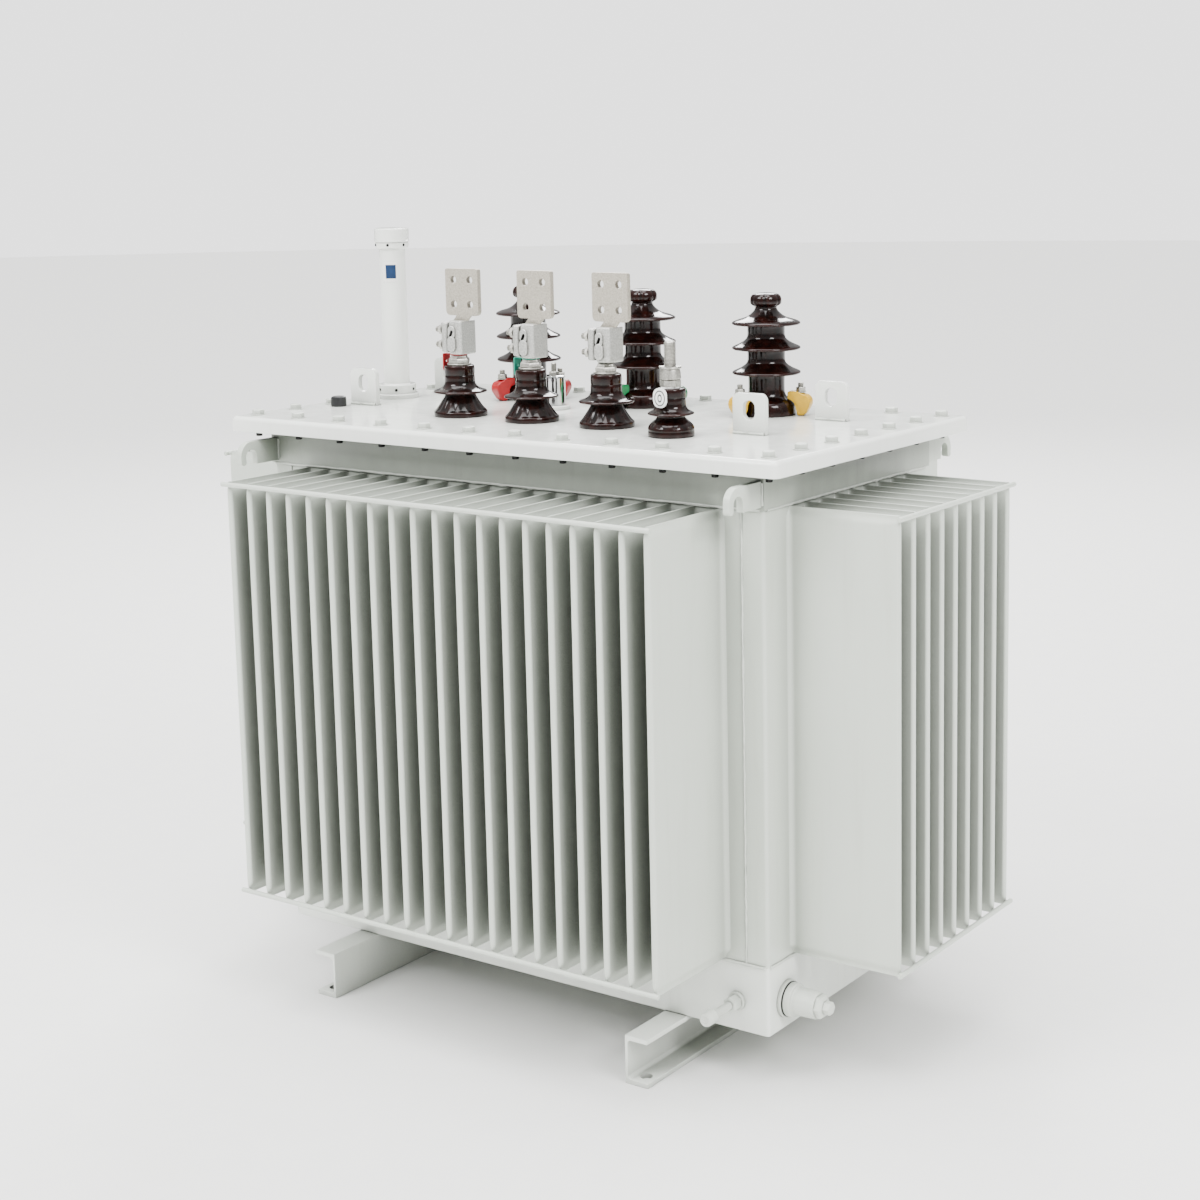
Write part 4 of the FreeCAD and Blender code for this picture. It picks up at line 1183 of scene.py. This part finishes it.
def lashing_hook(name, node, front):
    low, high = limits(node)
    size = high - low
    x, y, z = foot(node)
    outer = low.y if front else high.y
    inward = 1 if front else -1
    hook = block(name, size.x, size.y, size.z, (x, y, z))
    edit(hook)
    pick(hook, "EDGE", lambda middle, edge:
         along(edge, "X") and near(middle.z, high.z) and near(middle.y, outer))
    bevel(HOOK_ROUND, 8)
    done()
    mouth = outer + inward * MOUTH_IN
    ring = rod("mouth", MOUTH_RADIUS, 40, (0, 0, -20), sides=40)
    turn(ring, 90, "Y")
    cut(hook, move(ring, x, mouth, z + MOUTH_UP))
    cut(hook, block("gate", 40, 2 * MOUTH_RADIUS - 0.02, MOUTH_UP + 5, (x, mouth, z - 5)))
    edit(hook)
    pick(hook, "EDGE", lambda middle, edge:
         along(edge, "X") and near(middle.z, low.z) and inward * (middle.y - mouth) < 0)
    bevel(TIP_ROUND, 4)
    done()
    soften(hook, 1.3, 2, angle=40)
    painted(hook, tank_enamel)
    smooth(hook, 35)
    root = high.y if front else low.y
    weld = bead(name + "_weld", (high.x, root, z + 3), (high.x, root, high.z - 3), 2.6)
    return joined(name, [hook, weld])


for corner in ("front_left", "front_right", "back_left", "back_right"):
    seat(lashing_hook("hook_" + corner, "lashing_hook_" + corner, "front" in corner),
         "tank_paint", "lashing_hook_" + corner)
print(latest(4))

# %% [markdown]
# ## The seam welds
# The tank is airtight because every sheet is welded all round: to the pan below, to the band
# above and at the four upright seams where the end walls meet the long ones. The beads
# stand slightly proud and catch the light as a broken line.

# %% Seams
def seam_welds():
    beads = []
    reach_x = SIDE_FACE
    reach_y = FRONT_FACE
    for level in (WALL_LOW, WALL_HIGH):
        out = 0.6 if level == WALL_LOW else 1.6
        for side in (-1, 1):
            beads.append(bead("bead", (-reach_x + 5, side * (reach_y + out), level),
                              (reach_x - 5, side * (reach_y + out), level), 2.6))
            beads.append(bead("bead", (side * (reach_x + out), -reach_y + 5, level),
                              (side * (reach_x + out), reach_y - 5, level), 2.6))
    for side_x in (-1, 1):
        for side_y in (-1, 1):
            beads.append(bead("bead", (side_x * SEAM, side_y * reach_y, WALL_LOW),
                              (side_x * SEAM, side_y * reach_y, WALL_HIGH), 1.9))
    return joined("seam_welds", beads)


seat(seam_welds(), "tank_paint")
print(latest())

# %% [markdown]
# ## The low voltage bushings
# Each is a brown glazed insulator: a ribbed bell that rests on the cover, one thin shed that
# throws off rain, and a plain barrel. It is spun from half of its outline. The ribs are made
# by shrinking every third column of the bell, and a subdivision rounds them.

# %% Low voltage porcelain
RIB_SHRINK = 0.93
LV_SIDES = 48


def every(step, count, low, high):
    """Wanted test for every step-th column of count, between two heights."""
    def wanted(middle, part):
        column = round((math.atan2(middle.y, middle.x) % math.tau) / math.tau * count)
        return column % step == 0 and low < middle.z < high
    return wanted


def ribbed(piece, low, high, shrink=RIB_SHRINK, step=3, sides=LV_SIDES):
    """Pulls in every step-th column between two heights, which leaves ribs."""
    edit(piece)
    pick(piece, "VERT", every(step, sides, low, high))
    bpy.ops.transform.resize(value=(shrink, shrink, 1), center_override=(0, 0, 0))
    done()
    return piece


def lv_porcelain(name, node):
    x, y, z = foot(node)
    outline = [(0, 0), (44.5, 0), (45.7, 0.8), (46, 2.4), (46, 7.6), (45.2, 9.4),
               (43.6, 10.6), (40.6, 14), (37, 19), (33.4, 24.5), (30, 30), (27.3, 34.5),
               (26, 37.5), (25.8, 39.6), (28, 40.8), (34, 41.2), (41, 40.6), (44.8, 40.2),
               (46, 41.4), (46, 43), (44.6, 44.4), (40, 45.6), (34.6, 47.6), (30, 50.6),
               (27.2, 54.2), (26.1, 58), (26, 62), (26, 69), (25.2, 70.2), (25.2, 71.4),
               (26, 72.6), (26, 84.6), (25, 87), (22.6, 88), (0, 88)]
    piece = ribbed(spun(name, outline, LV_SIDES), 10, 34)
    apply(piece, "SUBSURF", levels=1, render_levels=1)
    painted(piece, glaze)
    smooth(piece, 50)
    return move(piece, x, y, z)


for phase in "abc":
    seat(lv_porcelain("lv_insulator_" + phase, "lv_porcelain_" + phase), "porcelain",
         "lv_porcelain_" + phase)
print(latest(3))

# %% [markdown]
# The neutral bushing is the small one of the family: a rounded foot, a step, one shed and a
# short barrel.

# %% Neutral porcelain
def neutral_insulator(name, node):
    x, y, z = foot(node)
    outline = [(0, 0), (36.4, 0), (37.5, 1.2), (37.5, 7.4), (36.8, 9.2), (37.2, 10.6),
               (37.4, 13), (36.4, 16.4), (33.6, 20.4), (29.4, 24), (25, 27.2), (22.6, 30),
               (22.2, 32.4), (24.4, 34), (30, 34.8), (35, 34.4), (37.2, 35.2), (37.5, 36.8),
               (36.4, 38.2), (32.6, 39.6), (28.4, 42), (25.4, 45.2), (24.2, 49), (24, 53),
               (24, 60), (23.3, 61), (23.3, 62.2), (24, 63.2), (24, 74), (23, 76.2),
               (21, 77), (0, 77)]
    piece = ribbed(spun(name, outline, LV_SIDES), 15, 29, 0.965)
    apply(piece, "SUBSURF", levels=1, render_levels=1)
    painted(piece, glaze)
    smooth(piece, 50)
    return move(piece, x, y, z)


seat(neutral_insulator("neutral_insulator", "neutral_porcelain"), "porcelain",
     "neutral_porcelain")
print(latest())

# %% [markdown]
# ## Studs and nuts
# A plated stud comes up through each small bushing and is held by a washer and a thick nut.
# On the neutral the stud is bare above a stack of washer, clamp nut and lock nut.

# %% Studs
LV_TOP = 88
NEUTRAL_TOP = 77
NUT_LV = 17
TAG = 2


def lv_stud(x, y, z):
    washer = spun("washer", [(9, 0), (20, 0), (20.6, 0.8), (20.6, 2.2), (20, 3), (9, 3)],
                  sides=32)
    body = spun("nut_body", [(9, 2.9), (18.2, 2.9), (19, 4), (19, 9.4), (17.6, 11.6),
                             (15.6, 13.2), (14.4, NUT_LV), (9, NUT_LV)], sides=6)
    soften(body, 1.4, 3)
    stem = thread("stem", 10, NUT_LV + TAG + 50, 2.5)
    for part in (washer, body, stem):
        painted(part, zinc_plate)
    stud = smooth(joined("lv_stud", [body, washer, stem]), 32)
    return move(stud, x, y, z + LV_TOP)


def neutral_stud(x, y, z):
    nut = hexagon("neutral_nut", 17, 12, (0, 0, TAG), chamfer=1.5)
    clamp = spun("clamp_nut", [(0, 14), (16.4, 14), (17, 15), (16.4, 25), (15.2, 29),
                               (15, 31), (0, 31)], sides=40)
    washer = spun("washer", [(0, 31), (17.6, 31), (18, 31.8), (17.6, 34), (0, 34)], sides=32)
    stem = thread("neutral_stem", 9.5, 72, 2.2, (0, 0, TAG))
    for part in (nut, clamp, washer, stem):
        painted(part, zinc_plate)
    stud = smooth(joined("neutral_stud", [nut, clamp, washer, stem]), 32)
    return move(stud, x, y, z + NEUTRAL_TOP)


studs = [lv_stud(*foot("lv_porcelain_" + phase)) for phase in "abc"]
studs.append(neutral_stud(*foot("neutral_porcelain")))
seat(joined("studs_and_nuts", studs), "zinc_steel", "bushing_studs")
print(len(studs), "studs", latest())

# %% [markdown]
# ## The low voltage terminals
# A split clamp of two castings is pulled together round the stud by two bolts, and carries
# a flat palm with four holes for the cable lugs. The castings are boxes with generous
# rounding and raised bosses; the palm is a thin plate with two cut and two round corners.

# %% Jaws and bosses
CLAMP_WIDE = 46
CLAMP_DEEP = 42
CLAMP_TALL = 58
SPLIT_X = -8
SPLIT_GAP = 3
# x, height, radius, stretch upwards and how far it stands out
LOW_BOSS = (4, 13, 8.5, 10, 5.5)
HIGH_BOSS = (4, 34, 7.5, 8, 4.5)
SLOT = (3, 33, 2.9, 9, 30)


def jaw(name, left, right, low, high, rounding):
    """One cast half of the clamp."""
    half = block(name, right - left, CLAMP_DEEP, high - low, ((left + right) / 2, 0, low))
    edit(half)
    pick(half, "EDGE", lambda middle, edge: along(edge, "Z"))
    bevel(rounding, 5)
    done()
    return soften(half, 3.2, 4, angle=40)


def boss(name, x, z, radius, tall, out):
    """A rounded oblong boss on the front of a casting."""
    pad = rod(name, radius, out, (0, 0, 0), sides=32)
    turn(pad, 90, "X")
    edit(pad)
    pick(pad, "VERT", lambda middle, part: middle.z > 0.1)
    bpy.ops.transform.translate(value=(0, 0, tall * MM))
    done()
    soften(pad, 1.5, 3, angle=40)
    return move(pad, x, -CLAMP_DEEP / 2 + 1, z)


print("clamp", CLAMP_WIDE, "x", CLAMP_DEEP, "x", CLAMP_TALL, "mm")

# %% [markdown]
# The clamp's two bolts come out on the left: a hexagon nut, a washer and a threaded end. They
# are made upright and laid over together.

# %% Clamp bolt
CLAMP_BOLT_LEVELS = (16, 42)


def clamp_bolt(z):
    nut = hexagon("clamp_nut", 9.2, 7, (0, 0, 0), chamfer=1)
    washer = spun("clamp_washer", [(4, -1.6), (10, -1.6), (10, 0), (4, 0)], sides=24)
    end = thread("clamp_thread", 5, 8, 1.6, (0, 0, 7), sides=16)
    for part in (nut, washer, end):
        painted(part, zinc_plate)
    bolt = joined("clamp_bolt", [nut, washer, end])
    turn(bolt, -90, "Y")
    return move(bolt, -CLAMP_WIDE / 2 + 0.6, -12, z)


print("clamp bolts at", CLAMP_BOLT_LEVELS, "mm")

# %% [markdown]
# The palm is where the cable lug is bolted on. Its two lower corners are cut off, its upper
# ones rounded, and four cylinders cut its holes. A short neck leans over to carry it.

# %% Palm
PALM_WIDE = 72
PALM_TALL = 80
PALM_THICK = 9
PALM_SHIFT = 14
NECK_TALL = 8
HOLE_STEP_X = 36
HOLE_STEP_Z = 42
PALM_HOLE = 6.5


def palm():
    middle_x = PALM_SHIFT
    low = CLAMP_TALL + NECK_TALL
    plate = block("palm", PALM_WIDE, PALM_THICK, PALM_TALL, (middle_x, 0, low))
    edit(plate)
    pick(plate, "EDGE", lambda middle, edge: along(edge, "Y") and near(middle.z, low))
    bevel(8, 4)
    pick(plate, "EDGE", lambda middle, edge: along(edge, "Y") and middle.z > low + 70)
    bevel(4, 4)
    done()
    for side in (-1, 1):
        for level in (-1, 1):
            hole = rod("hole", PALM_HOLE, 30, (0, 0, -15), sides=32)
            turn(hole, 90, "X")
            move(hole, middle_x + side * HOLE_STEP_X / 2, 0,
                 low + PALM_TALL / 2 + level * HOLE_STEP_Z / 2)
            cut(plate, hole)
    neck = block("neck", 30, PALM_THICK, NECK_TALL + 8, (middle_x - 12, 0, CLAMP_TALL - 7))
    edit(neck)
    pick(neck, "FACE", lambda middle, face: middle.z > CLAMP_TALL + 8.5)
    bpy.ops.transform.translate(value=(14 * MM, 0, 0))
    done()
    soften(neck, 2, 3, angle=30)
    soften(plate, 0.9, 2, angle=40)
    return smooth(painted(joined("palm", [plate, neck]), tinned_copper), 35)


print("palm", PALM_WIDE, "x", PALM_TALL, "mm, holes of", 2 * PALM_HOLE, "mm")

# %% [markdown]
# The parts come together on each stud. A slanting slot crosses the upper boss and the casting
# behind it, so it is cut from both before they are joined.

# %% Terminal
def lv_terminal(name, phase):
    x, y, z = foot("lv_porcelain_" + phase)
    edge = CLAMP_WIDE / 2
    right = jaw("right_jaw", SPLIT_X + SPLIT_GAP, edge, 0, CLAMP_TALL, 5)
    left = jaw("left_jaw", -edge, SPLIT_X, 3, CLAMP_TALL - 3, 6)
    spine = block("spine", CLAMP_WIDE - 14, CLAMP_DEEP / 2 - 4, CLAMP_TALL - 8, (0, 8, 4))
    soften(spine, 3, 3)
    low_boss = boss("low_boss", *LOW_BOSS)
    high_boss = boss("high_boss", *HIGH_BOSS)
    for casting in (high_boss, right):
        slot = boss("slot", *SLOT)
        turn(slot, 24, "Y")
        move(slot, -14, 12, 2)
        cut(casting, slot)
    casting = joined("casting", [right, left, spine, low_boss, high_boss])
    smooth(painted(casting, cast_tin), 40)
    bolts = [clamp_bolt(level) for level in CLAMP_BOLT_LEVELS]
    terminal = joined(name, [casting, palm()] + bolts)
    return move(terminal, x, y, z + LV_TOP + NUT_LV + TAG)


for phase in "abc":
    seat(lv_terminal("terminal_" + phase, phase), "tinned_brass", "lv_terminal_" + phase)
print(latest(3))

# %% [markdown]
# ## The phase tags
# Punched plastic tags hang from the studs: a ring, a strap and a plate with a small hole. The
# neutral's tag is oval, with a black ring and a plain zero that tell it apart.

# %% Tag of two phases
TAG_DROP = 29
TAG_REACH = 28


def tag_plate(name, material, width, drop, reach, round_top=3):
    """A ring round the stud, a strap towards -X and a hanging plate."""
    ring = spun(name + "_ring", [(10.4, 0), (14.7, 0), (15, 0.4), (15, 1.6), (14.7, 2),
                                 (10.4, 2)], sides=32)
    strap = block(name + "_strap", reach - 12, 8, TAG, (-(reach + 12) / 2, 0, 0))
    plate = block(name + "_plate", TAG, width, drop + TAG, (-reach - TAG / 2, 0, -drop))
    edit(plate)
    pick(plate, "EDGE", lambda middle, edge: along(edge, "X") and middle.z < -drop + 1)
    bevel(max(width * 0.3, round_top), 7)
    pick(plate, "EDGE", lambda middle, edge: along(edge, "X") and middle.z > 1)
    bevel(round_top, 7)
    done()
    soften(plate, 0.4, 2, angle=40)
    soften(strap, 0.4, 2)
    return smooth(painted(joined(name, [plate, strap, ring]), material), 35)


def phase_tag(name, material, phase):
    x, y, z = foot("lv_porcelain_" + phase)
    tag = tag_plate(name, material, 18, TAG_DROP, TAG_REACH)
    eyelet = rod("eyelet", 2.2, 20, (0, 0, -10), sides=20)
    turn(eyelet, 90, "Y")
    cut(tag, move(eyelet, -TAG_REACH - 1, 0, -12))
    return move(tag, x, y, z + LV_TOP + NUT_LV)


tags = [phase_tag("tag_a", red_tag, "a"), phase_tag("tag_b", teal_tag, "b")]
print("phase tags", len(tags))

# %% [markdown]
# The neutral's tag is rounder. Its two marks are thin rings, spun and then stretched upright
# into ovals.

# %% Tag of the neutral
MARK_OUT = TAG_REACH + 1.8


def oval_ring(name, wide, tall, thick, out):
    """A flat black oval line, spun round and stretched."""
    ring = spun(name, [(wide - thick, 0), (wide, 0), (wide, 0.5), (wide - thick, 0.5)],
                sides=40)
    edit(ring)
    bpy.ops.transform.resize(value=(1, tall / wide, 1), center_override=(0, 0, 0))
    done()
    turn(ring, -90, "Y")
    turn(ring, 90, "X")
    return painted(move(ring, -out, 0, -14), black_cap)


def neutral_tag():
    x, y, z = foot("neutral_porcelain")
    tag = tag_plate("neutral_tag", white_tag, 26, TAG_DROP, TAG_REACH, round_top=11)
    marks = [oval_ring("tag_line", 10, 12.5, 1.5, MARK_OUT),
             oval_ring("zero", 4, 6.6, 1.5, MARK_OUT)]
    whole = joined("neutral_tag", [tag] + marks)
    turn(whole, 90)
    return move(whole, x, y, z + NEUTRAL_TOP)


tags.append(neutral_tag())
seat(joined("hanging_tags", tags), "tag_plastic", "phase_tags")
print(latest())

# %% [markdown]
# ## The high voltage bushings
# The tall insulators are on the high voltage side, so their surface is lengthened by three
# sheds with a drooping, rounded rim. The outline is denser where the rim curls. The knob on
# top has shallow notches, made in the same way as the ribs of the small bushings.

# %% High voltage porcelain
HV_BASE = 50
HV_CORE = 33
HV_RIM = 59
SHED_LEVELS = (72, 114, 156)


def shed(level, core, rise):
    """Outline of one shed from its underside to the barrel above it."""
    return [(core + 0.6, level - 0.6), (core + 4, level + 0.8), (core + 12, level + 0.4),
            (HV_RIM - 6, level - 1.6), (HV_RIM - 2.4, level - 2.4), (HV_RIM - 0.4, level - 1),
            (HV_RIM, level + 0.8), (HV_RIM - 1, level + 2.6), (HV_RIM - 5, level + 4.6),
            (HV_RIM - 12, level + 7.2), (core + 7, level + rise * 0.62),
            (core + 2.6, level + rise * 0.82), (core + 0.4, level + rise)]


def hv_porcelain(name, node):
    x, y, z = foot(node)
    outline = [(0, 0), (48, 0), (49.6, 0.8), (HV_BASE, 2.6), (49.4, 12), (48.4, 18),
               (46, 22), (41.6, 25.6), (36.4, 29), (33, 33), (31.6, 38), (31, 44),
               (31, 58), (31.4, 66)]
    for level in SHED_LEVELS[:2]:
        outline += shed(level, HV_CORE - 1, 19)
        outline += [(HV_CORE - 1, level + 25), (HV_CORE - 1, level + 34)]
    outline += shed(SHED_LEVELS[2], HV_CORE - 1, 13)[:-3]
    outline += [(35, 166), (28, 170.6), (22.4, 175.4), (19, 180), (18.4, 183.4),
                (20.4, 185.6), (24.4, 187.2), (26.6, 189.6), (27, 193), (26.8, 198),
                (25.4, 202.4), (22, 205.6), (16, 207.4), (8, 207.8), (0, 208)]
    piece = ribbed(spun(name, outline, LV_SIDES), 186, 206, 0.84, step=8)
    apply(piece, "SUBSURF", levels=1, render_levels=1)
    painted(piece, glaze)
    smooth(piece, 50)
    return move(piece, x, y, z)


for phase in "abc":
    seat(hv_porcelain("hv_insulator_" + phase, "hv_porcelain_" + phase), "porcelain",
         "hv_porcelain_" + phase)
print(latest(3))

# %% [markdown]
# Three cast claws pinch the foot of each tall bushing, dipped in its phase colour. A claw has
# one outline all along, so it is pushed out, narrowed at the toe and rounded all over. Its
# stud and nut are left bare.

# %% One claw
CLAW_WIDE = 22
CLAW_STUD = 61
CLAW_TOP = 42
CLAW_OUTLINE = ((39, 28.5), (46, 25.6), (51.5, 21.4), (54, 14), (56, 0), (66, 0), (72, 5),
                (79, 18), (80, 24), (78, 31), (73, 35.4), (66, 37.4), (60, 41), (44, 42),
                (39, 40))


def claw(material):
    casting = pushed("claw", CLAW_OUTLINE, CLAW_WIDE)
    edit(casting)
    pick(casting, "VERT", lambda middle, part: middle.z < 6)
    bpy.ops.transform.resize(value=(1, 0.7, 1), center_override=(0, 0, 0))
    pick(casting, "VERT", lambda middle, part: middle.x < 47 and middle.z > 20)
    bpy.ops.transform.resize(value=(1, 0.86, 1), center_override=(0, 0, 0))
    done()
    soften(casting, 2.4, 3, angle=25)
    painted(casting, material)
    nut = hexagon("claw_nut", 8.5, 8, (CLAW_STUD, 0, CLAW_TOP - 1), chamfer=1)
    washer = spun("claw_washer", [(0, 0), (9.6, 0), (9.6, 1.4), (0, 1.4)], sides=24)
    move(washer, CLAW_STUD, 0, CLAW_TOP - 2.2)
    stud = thread("claw_stud", 5, 16, 1.6, (CLAW_STUD, 0, 40), sides=16)
    for part in (nut, washer, stud):
        painted(part, zinc_plate)
    return smooth(joined("claw", [casting, nut, washer, stud]), 38)


print("a claw is", CLAW_WIDE, "mm wide and", CLAW_TOP, "mm tall")

# %% Claws in threes
CLAW_ANGLES = (15, 135, 255)


def claw_set(name, node, material):
    x, y, z = foot(node)
    pattern = claw(material)
    copies = []
    for angle in CLAW_ANGLES:
        one = copied(pattern, "claw")
        copies.append(turn(one, angle))
    bpy.data.objects.remove(pattern)
    return move(joined(name, copies), x, y, z)


for phase, colour, coat_finish in (("a", "red", phase_red), ("b", "green", phase_green),
                                   ("c", "yellow", phase_yellow)):
    claws = claw_set("claws_" + phase, "hv_porcelain_" + phase, coat_finish)
    seat(claws, "claw_" + colour, "hv_clamps_" + phase)
print(latest(3))

# %% [markdown]
# ## The filler tube
# A tall tube with a screwed cap takes the oil. It stands in a collar on a flanged foot, and a
# small tinted window near the top shows the level. Tube, collar and cap are spun; the
# window is a strip spun through a small angle and given a thickness, so that it follows the
# tube.

# %% Curved plates and screws
def curved_plate(name, radius, low, high, span, facing, thick):
    """A plate that follows the tube, centred on a direction in degrees."""
    plate = spun(name, [(radius, low), (radius, high)], sides=12, angle=span)
    apply(plate, "SOLIDIFY", thickness=thick * MM, offset=0)
    soften(plate, 0.3, 1)
    return turn(plate, facing + span / 2)


def screw(name, material):
    head = spun(name, [(0, 0), (2.6, 0), (2.6, 1.4), (2, 2), (0, 2)], sides=16)
    cut(head, block("slot", 6, 0.8, 2, (0, 0, 1.3)))
    painted(head, material)
    return turn(head, 90, "Y")


test_screw = screw("screw_test", dark_steel)
print("a slotted screw has", len(test_screw.data.polygons), "faces")
bpy.data.objects.remove(test_screw)

# %% [markdown]
# The tube's outline runs from the flange over the collar and up to the ring under the cap.
# Six small screws stand round the collar and six round the ring.

# %% Filler tube
WINDOW_LOW = 222
WINDOW_TALL = 25
WINDOW_ANGLE = 44
WINDOW_FRAME = 6
TUBE_RADIUS = 24
FIRST_SCREW = -62
SCREW_STEP = 60


def filler_tube():
    x, y, z = foot("filler_tube")
    tube = spun("tube", [(21, 0), (40, 0), (40, 7.6), (39, 9), (36.4, 9), (36.4, 8.2),
                         (35.4, 8.2), (35, 9.4), (35, 24.6), (33.8, 26), (26, 26),
                         (24.8, 27), (TUBE_RADIUS, 28.4), (TUBE_RADIUS, 275),
                         (26, 277), (29.4, 277.6), (30, 278.6), (30, 287), (29.2, 288),
                         (21, 288)], sides=64)
    painted(tube, cover_lit_enamel)
    smooth(tube, 32)
    parts = [tube]
    for angle in range(FIRST_SCREW, FIRST_SCREW + 360, SCREW_STEP):
        low_screw = move(screw("collar_screw", dark_steel), 34.4, 0, 17)
        parts.append(turn(low_screw, angle + 12))
        high_screw = move(screw("ring_screw", dark_steel), 29.2, 0, 283)
        parts.append(turn(high_screw, angle))
    frame_plate = curved_plate("window_frame", TUBE_RADIUS + 0.3, WINDOW_LOW - WINDOW_FRAME,
                               WINDOW_LOW + WINDOW_TALL + WINDOW_FRAME,
                               WINDOW_ANGLE + 26, -61, 1)
    painted(frame_plate, white_tag)
    window = curved_plate("window", TUBE_RADIUS + 0.8, WINDOW_LOW, WINDOW_LOW + WINDOW_TALL,
                          WINDOW_ANGLE, -56, 1.4)
    painted(window, level_glass)
    whole = joined("oil_filler_tube", parts + [smooth(frame_plate), smooth(window)])
    return move(whole, x, y, z)


seat(filler_tube(), "cover_paint", "filler_tube")
print(latest())

# %% Filler cap
def filler_cap():
    x, y, z = foot("filler_cap")
    cap = spun("oil_filler_cap", [(0, 0), (31.6, 0), (32, 0.8), (32, 3), (31.2, 3.6),
                                  (31.4, 20), (31.4, 23), (30, 25.2), (27, 26), (0, 26)],
               sides=60)
    painted(cap, cover_lit_enamel)
    smooth(cap, 32)
    return move(cap, x, y, z)


seat(filler_cap(), "cover_paint", "filler_cap")
print(latest())

# %% [markdown]
# ## Thermometer pocket and tap changer
# A moulded nylon cap with a gripping edge closes the thermometer pocket. The tap changer's
# handle hides under a polished steel cup on a painted flange, with its stud on top.

# %% Pocket cap
def pocket_cap():
    x, y, z = foot("thermometer_pocket")
    cap = spun("pocket_cap", [(0, 0), (13, 0), (13.8, 0.8), (14, 2.4), (13.8, 14),
                              (12.8, 16.6), (10.4, 18), (0, 18)], sides=LV_SIDES)
    ribbed(cap, 1, 15, 0.95, step=2)
    painted(cap, black_cap)
    smooth(cap, 30)
    return move(cap, x, y, z)


seat(pocket_cap(), "black_plastic", "thermometer_pocket")
print(latest())

# %% Tap changer
def tap_changer():
    x, y, z = foot("tap_changer_cover")
    flange = spun("tap_flange", [(0, 0), (26.6, 0), (27, 0.6), (27, 5.6), (26, 7), (0, 7)],
                  sides=48)
    painted(flange, cover_lit_enamel)
    cup = spun("tap_cup", [(0, 6.5), (19.5, 6.5), (19.5, 55), (18.6, 58.4), (16, 60),
                           (0, 60)], sides=64)
    painted(cup, polished)
    nut = hexagon("tap_nut", 9, 7, (0, 0, 59.6), chamfer=1)
    stud = thread("tap_stud", 5, 22, 1.6, (0, 0, 60), sides=16)
    painted(nut, zinc_plate)
    painted(stud, zinc_plate)
    return move(smooth(joined("tap_changer_cup", [cup, flange, nut, stud]), 32), x, y, z)


seat(tap_changer(), "polished_steel", "tap_changer_cover")
print(latest())

# %% [markdown]
# ## The two valves
# The drain valve screws into a disc on the pan with a black gasket between, and ends in a
# hexagon plug. The sampling valve is small: a disc, a hexagon, a threaded stem and a round
# knob. Both are turned on an upright axis and then laid over.

# %% Drain valve
def drain_valve():
    low, high = limits("drain_valve")
    disc = spun("drain_disc", [(0, 0), (29.4, 0), (30, 0.8), (30, 5.6), (29, 6.4), (0, 6.4)],
                sides=56)
    seal = spun("drain_gasket", [(0, 6.2), (27.6, 6.2), (27.6, 8.6), (0, 8.6)], sides=56)
    body = spun("drain_body", [(0, 8.4), (26.4, 8.4), (27, 9.4), (27, 18), (25.6, 20),
                               (23.4, 20.6), (22.6, 22), (22, 24), (21.6, 56), (20.6, 60),
                               (0, 60)], sides=56)
    nose = hexagon("drain_nose", 19.6, 12, (0, 0, 59), chamfer=3.4)
    plug = hexagon("drain_plug", 11, 13, (0, 0, 70), chamfer=1.6)
    parts = [painted(disc, bolt_enamel), painted(body, bolt_enamel),
             painted(nose, bolt_enamel), painted(plug, bolt_enamel),
             painted(seal, gasket_rubber)]
    valve = smooth(joined("oil_drain_valve", parts), 34)
    turn(valve, 90, "Y")
    return move(valve, low.x, (low.y + high.y) / 2, (low.z + high.z) / 2)


seat(drain_valve(), "cover_paint", "drain_valve")
print(latest())

# %% Sampling valve
def sampling_valve():
    low, high = limits("sampling_valve")
    disc = spun("sampler_disc", [(0, 0), (14.6, 0), (15, 0.6), (15, 5), (14, 6), (0, 6)],
                sides=40)
    nut = hexagon("sampler_nut", 12.5, 18, (0, 0, 6), chamfer=1.6)
    stem = thread("sampler_stem", 6.5, 46, 2.4, (0, 0, 24), sides=24)
    knob = spun("sampler_knob", [(0, 68), (8, 68), (10, 69), (11, 71.6), (11, 87.4),
                                 (10.2, 89.6), (8, 91), (5.4, 90.6), (4.6, 89.6),
                                 (0, 89.4)], sides=40)
    parts = [painted(part, bolt_enamel) for part in (disc, nut, stem, knob)]
    valve = smooth(joined("oil_sampling_valve", parts), 34)
    turn(valve, 90, "X")
    return move(valve, (low.x + high.x) / 2, high.y, (low.z + high.z) / 2)


seat(sampling_valve(), "cover_paint", "sampling_valve")
print(latest())
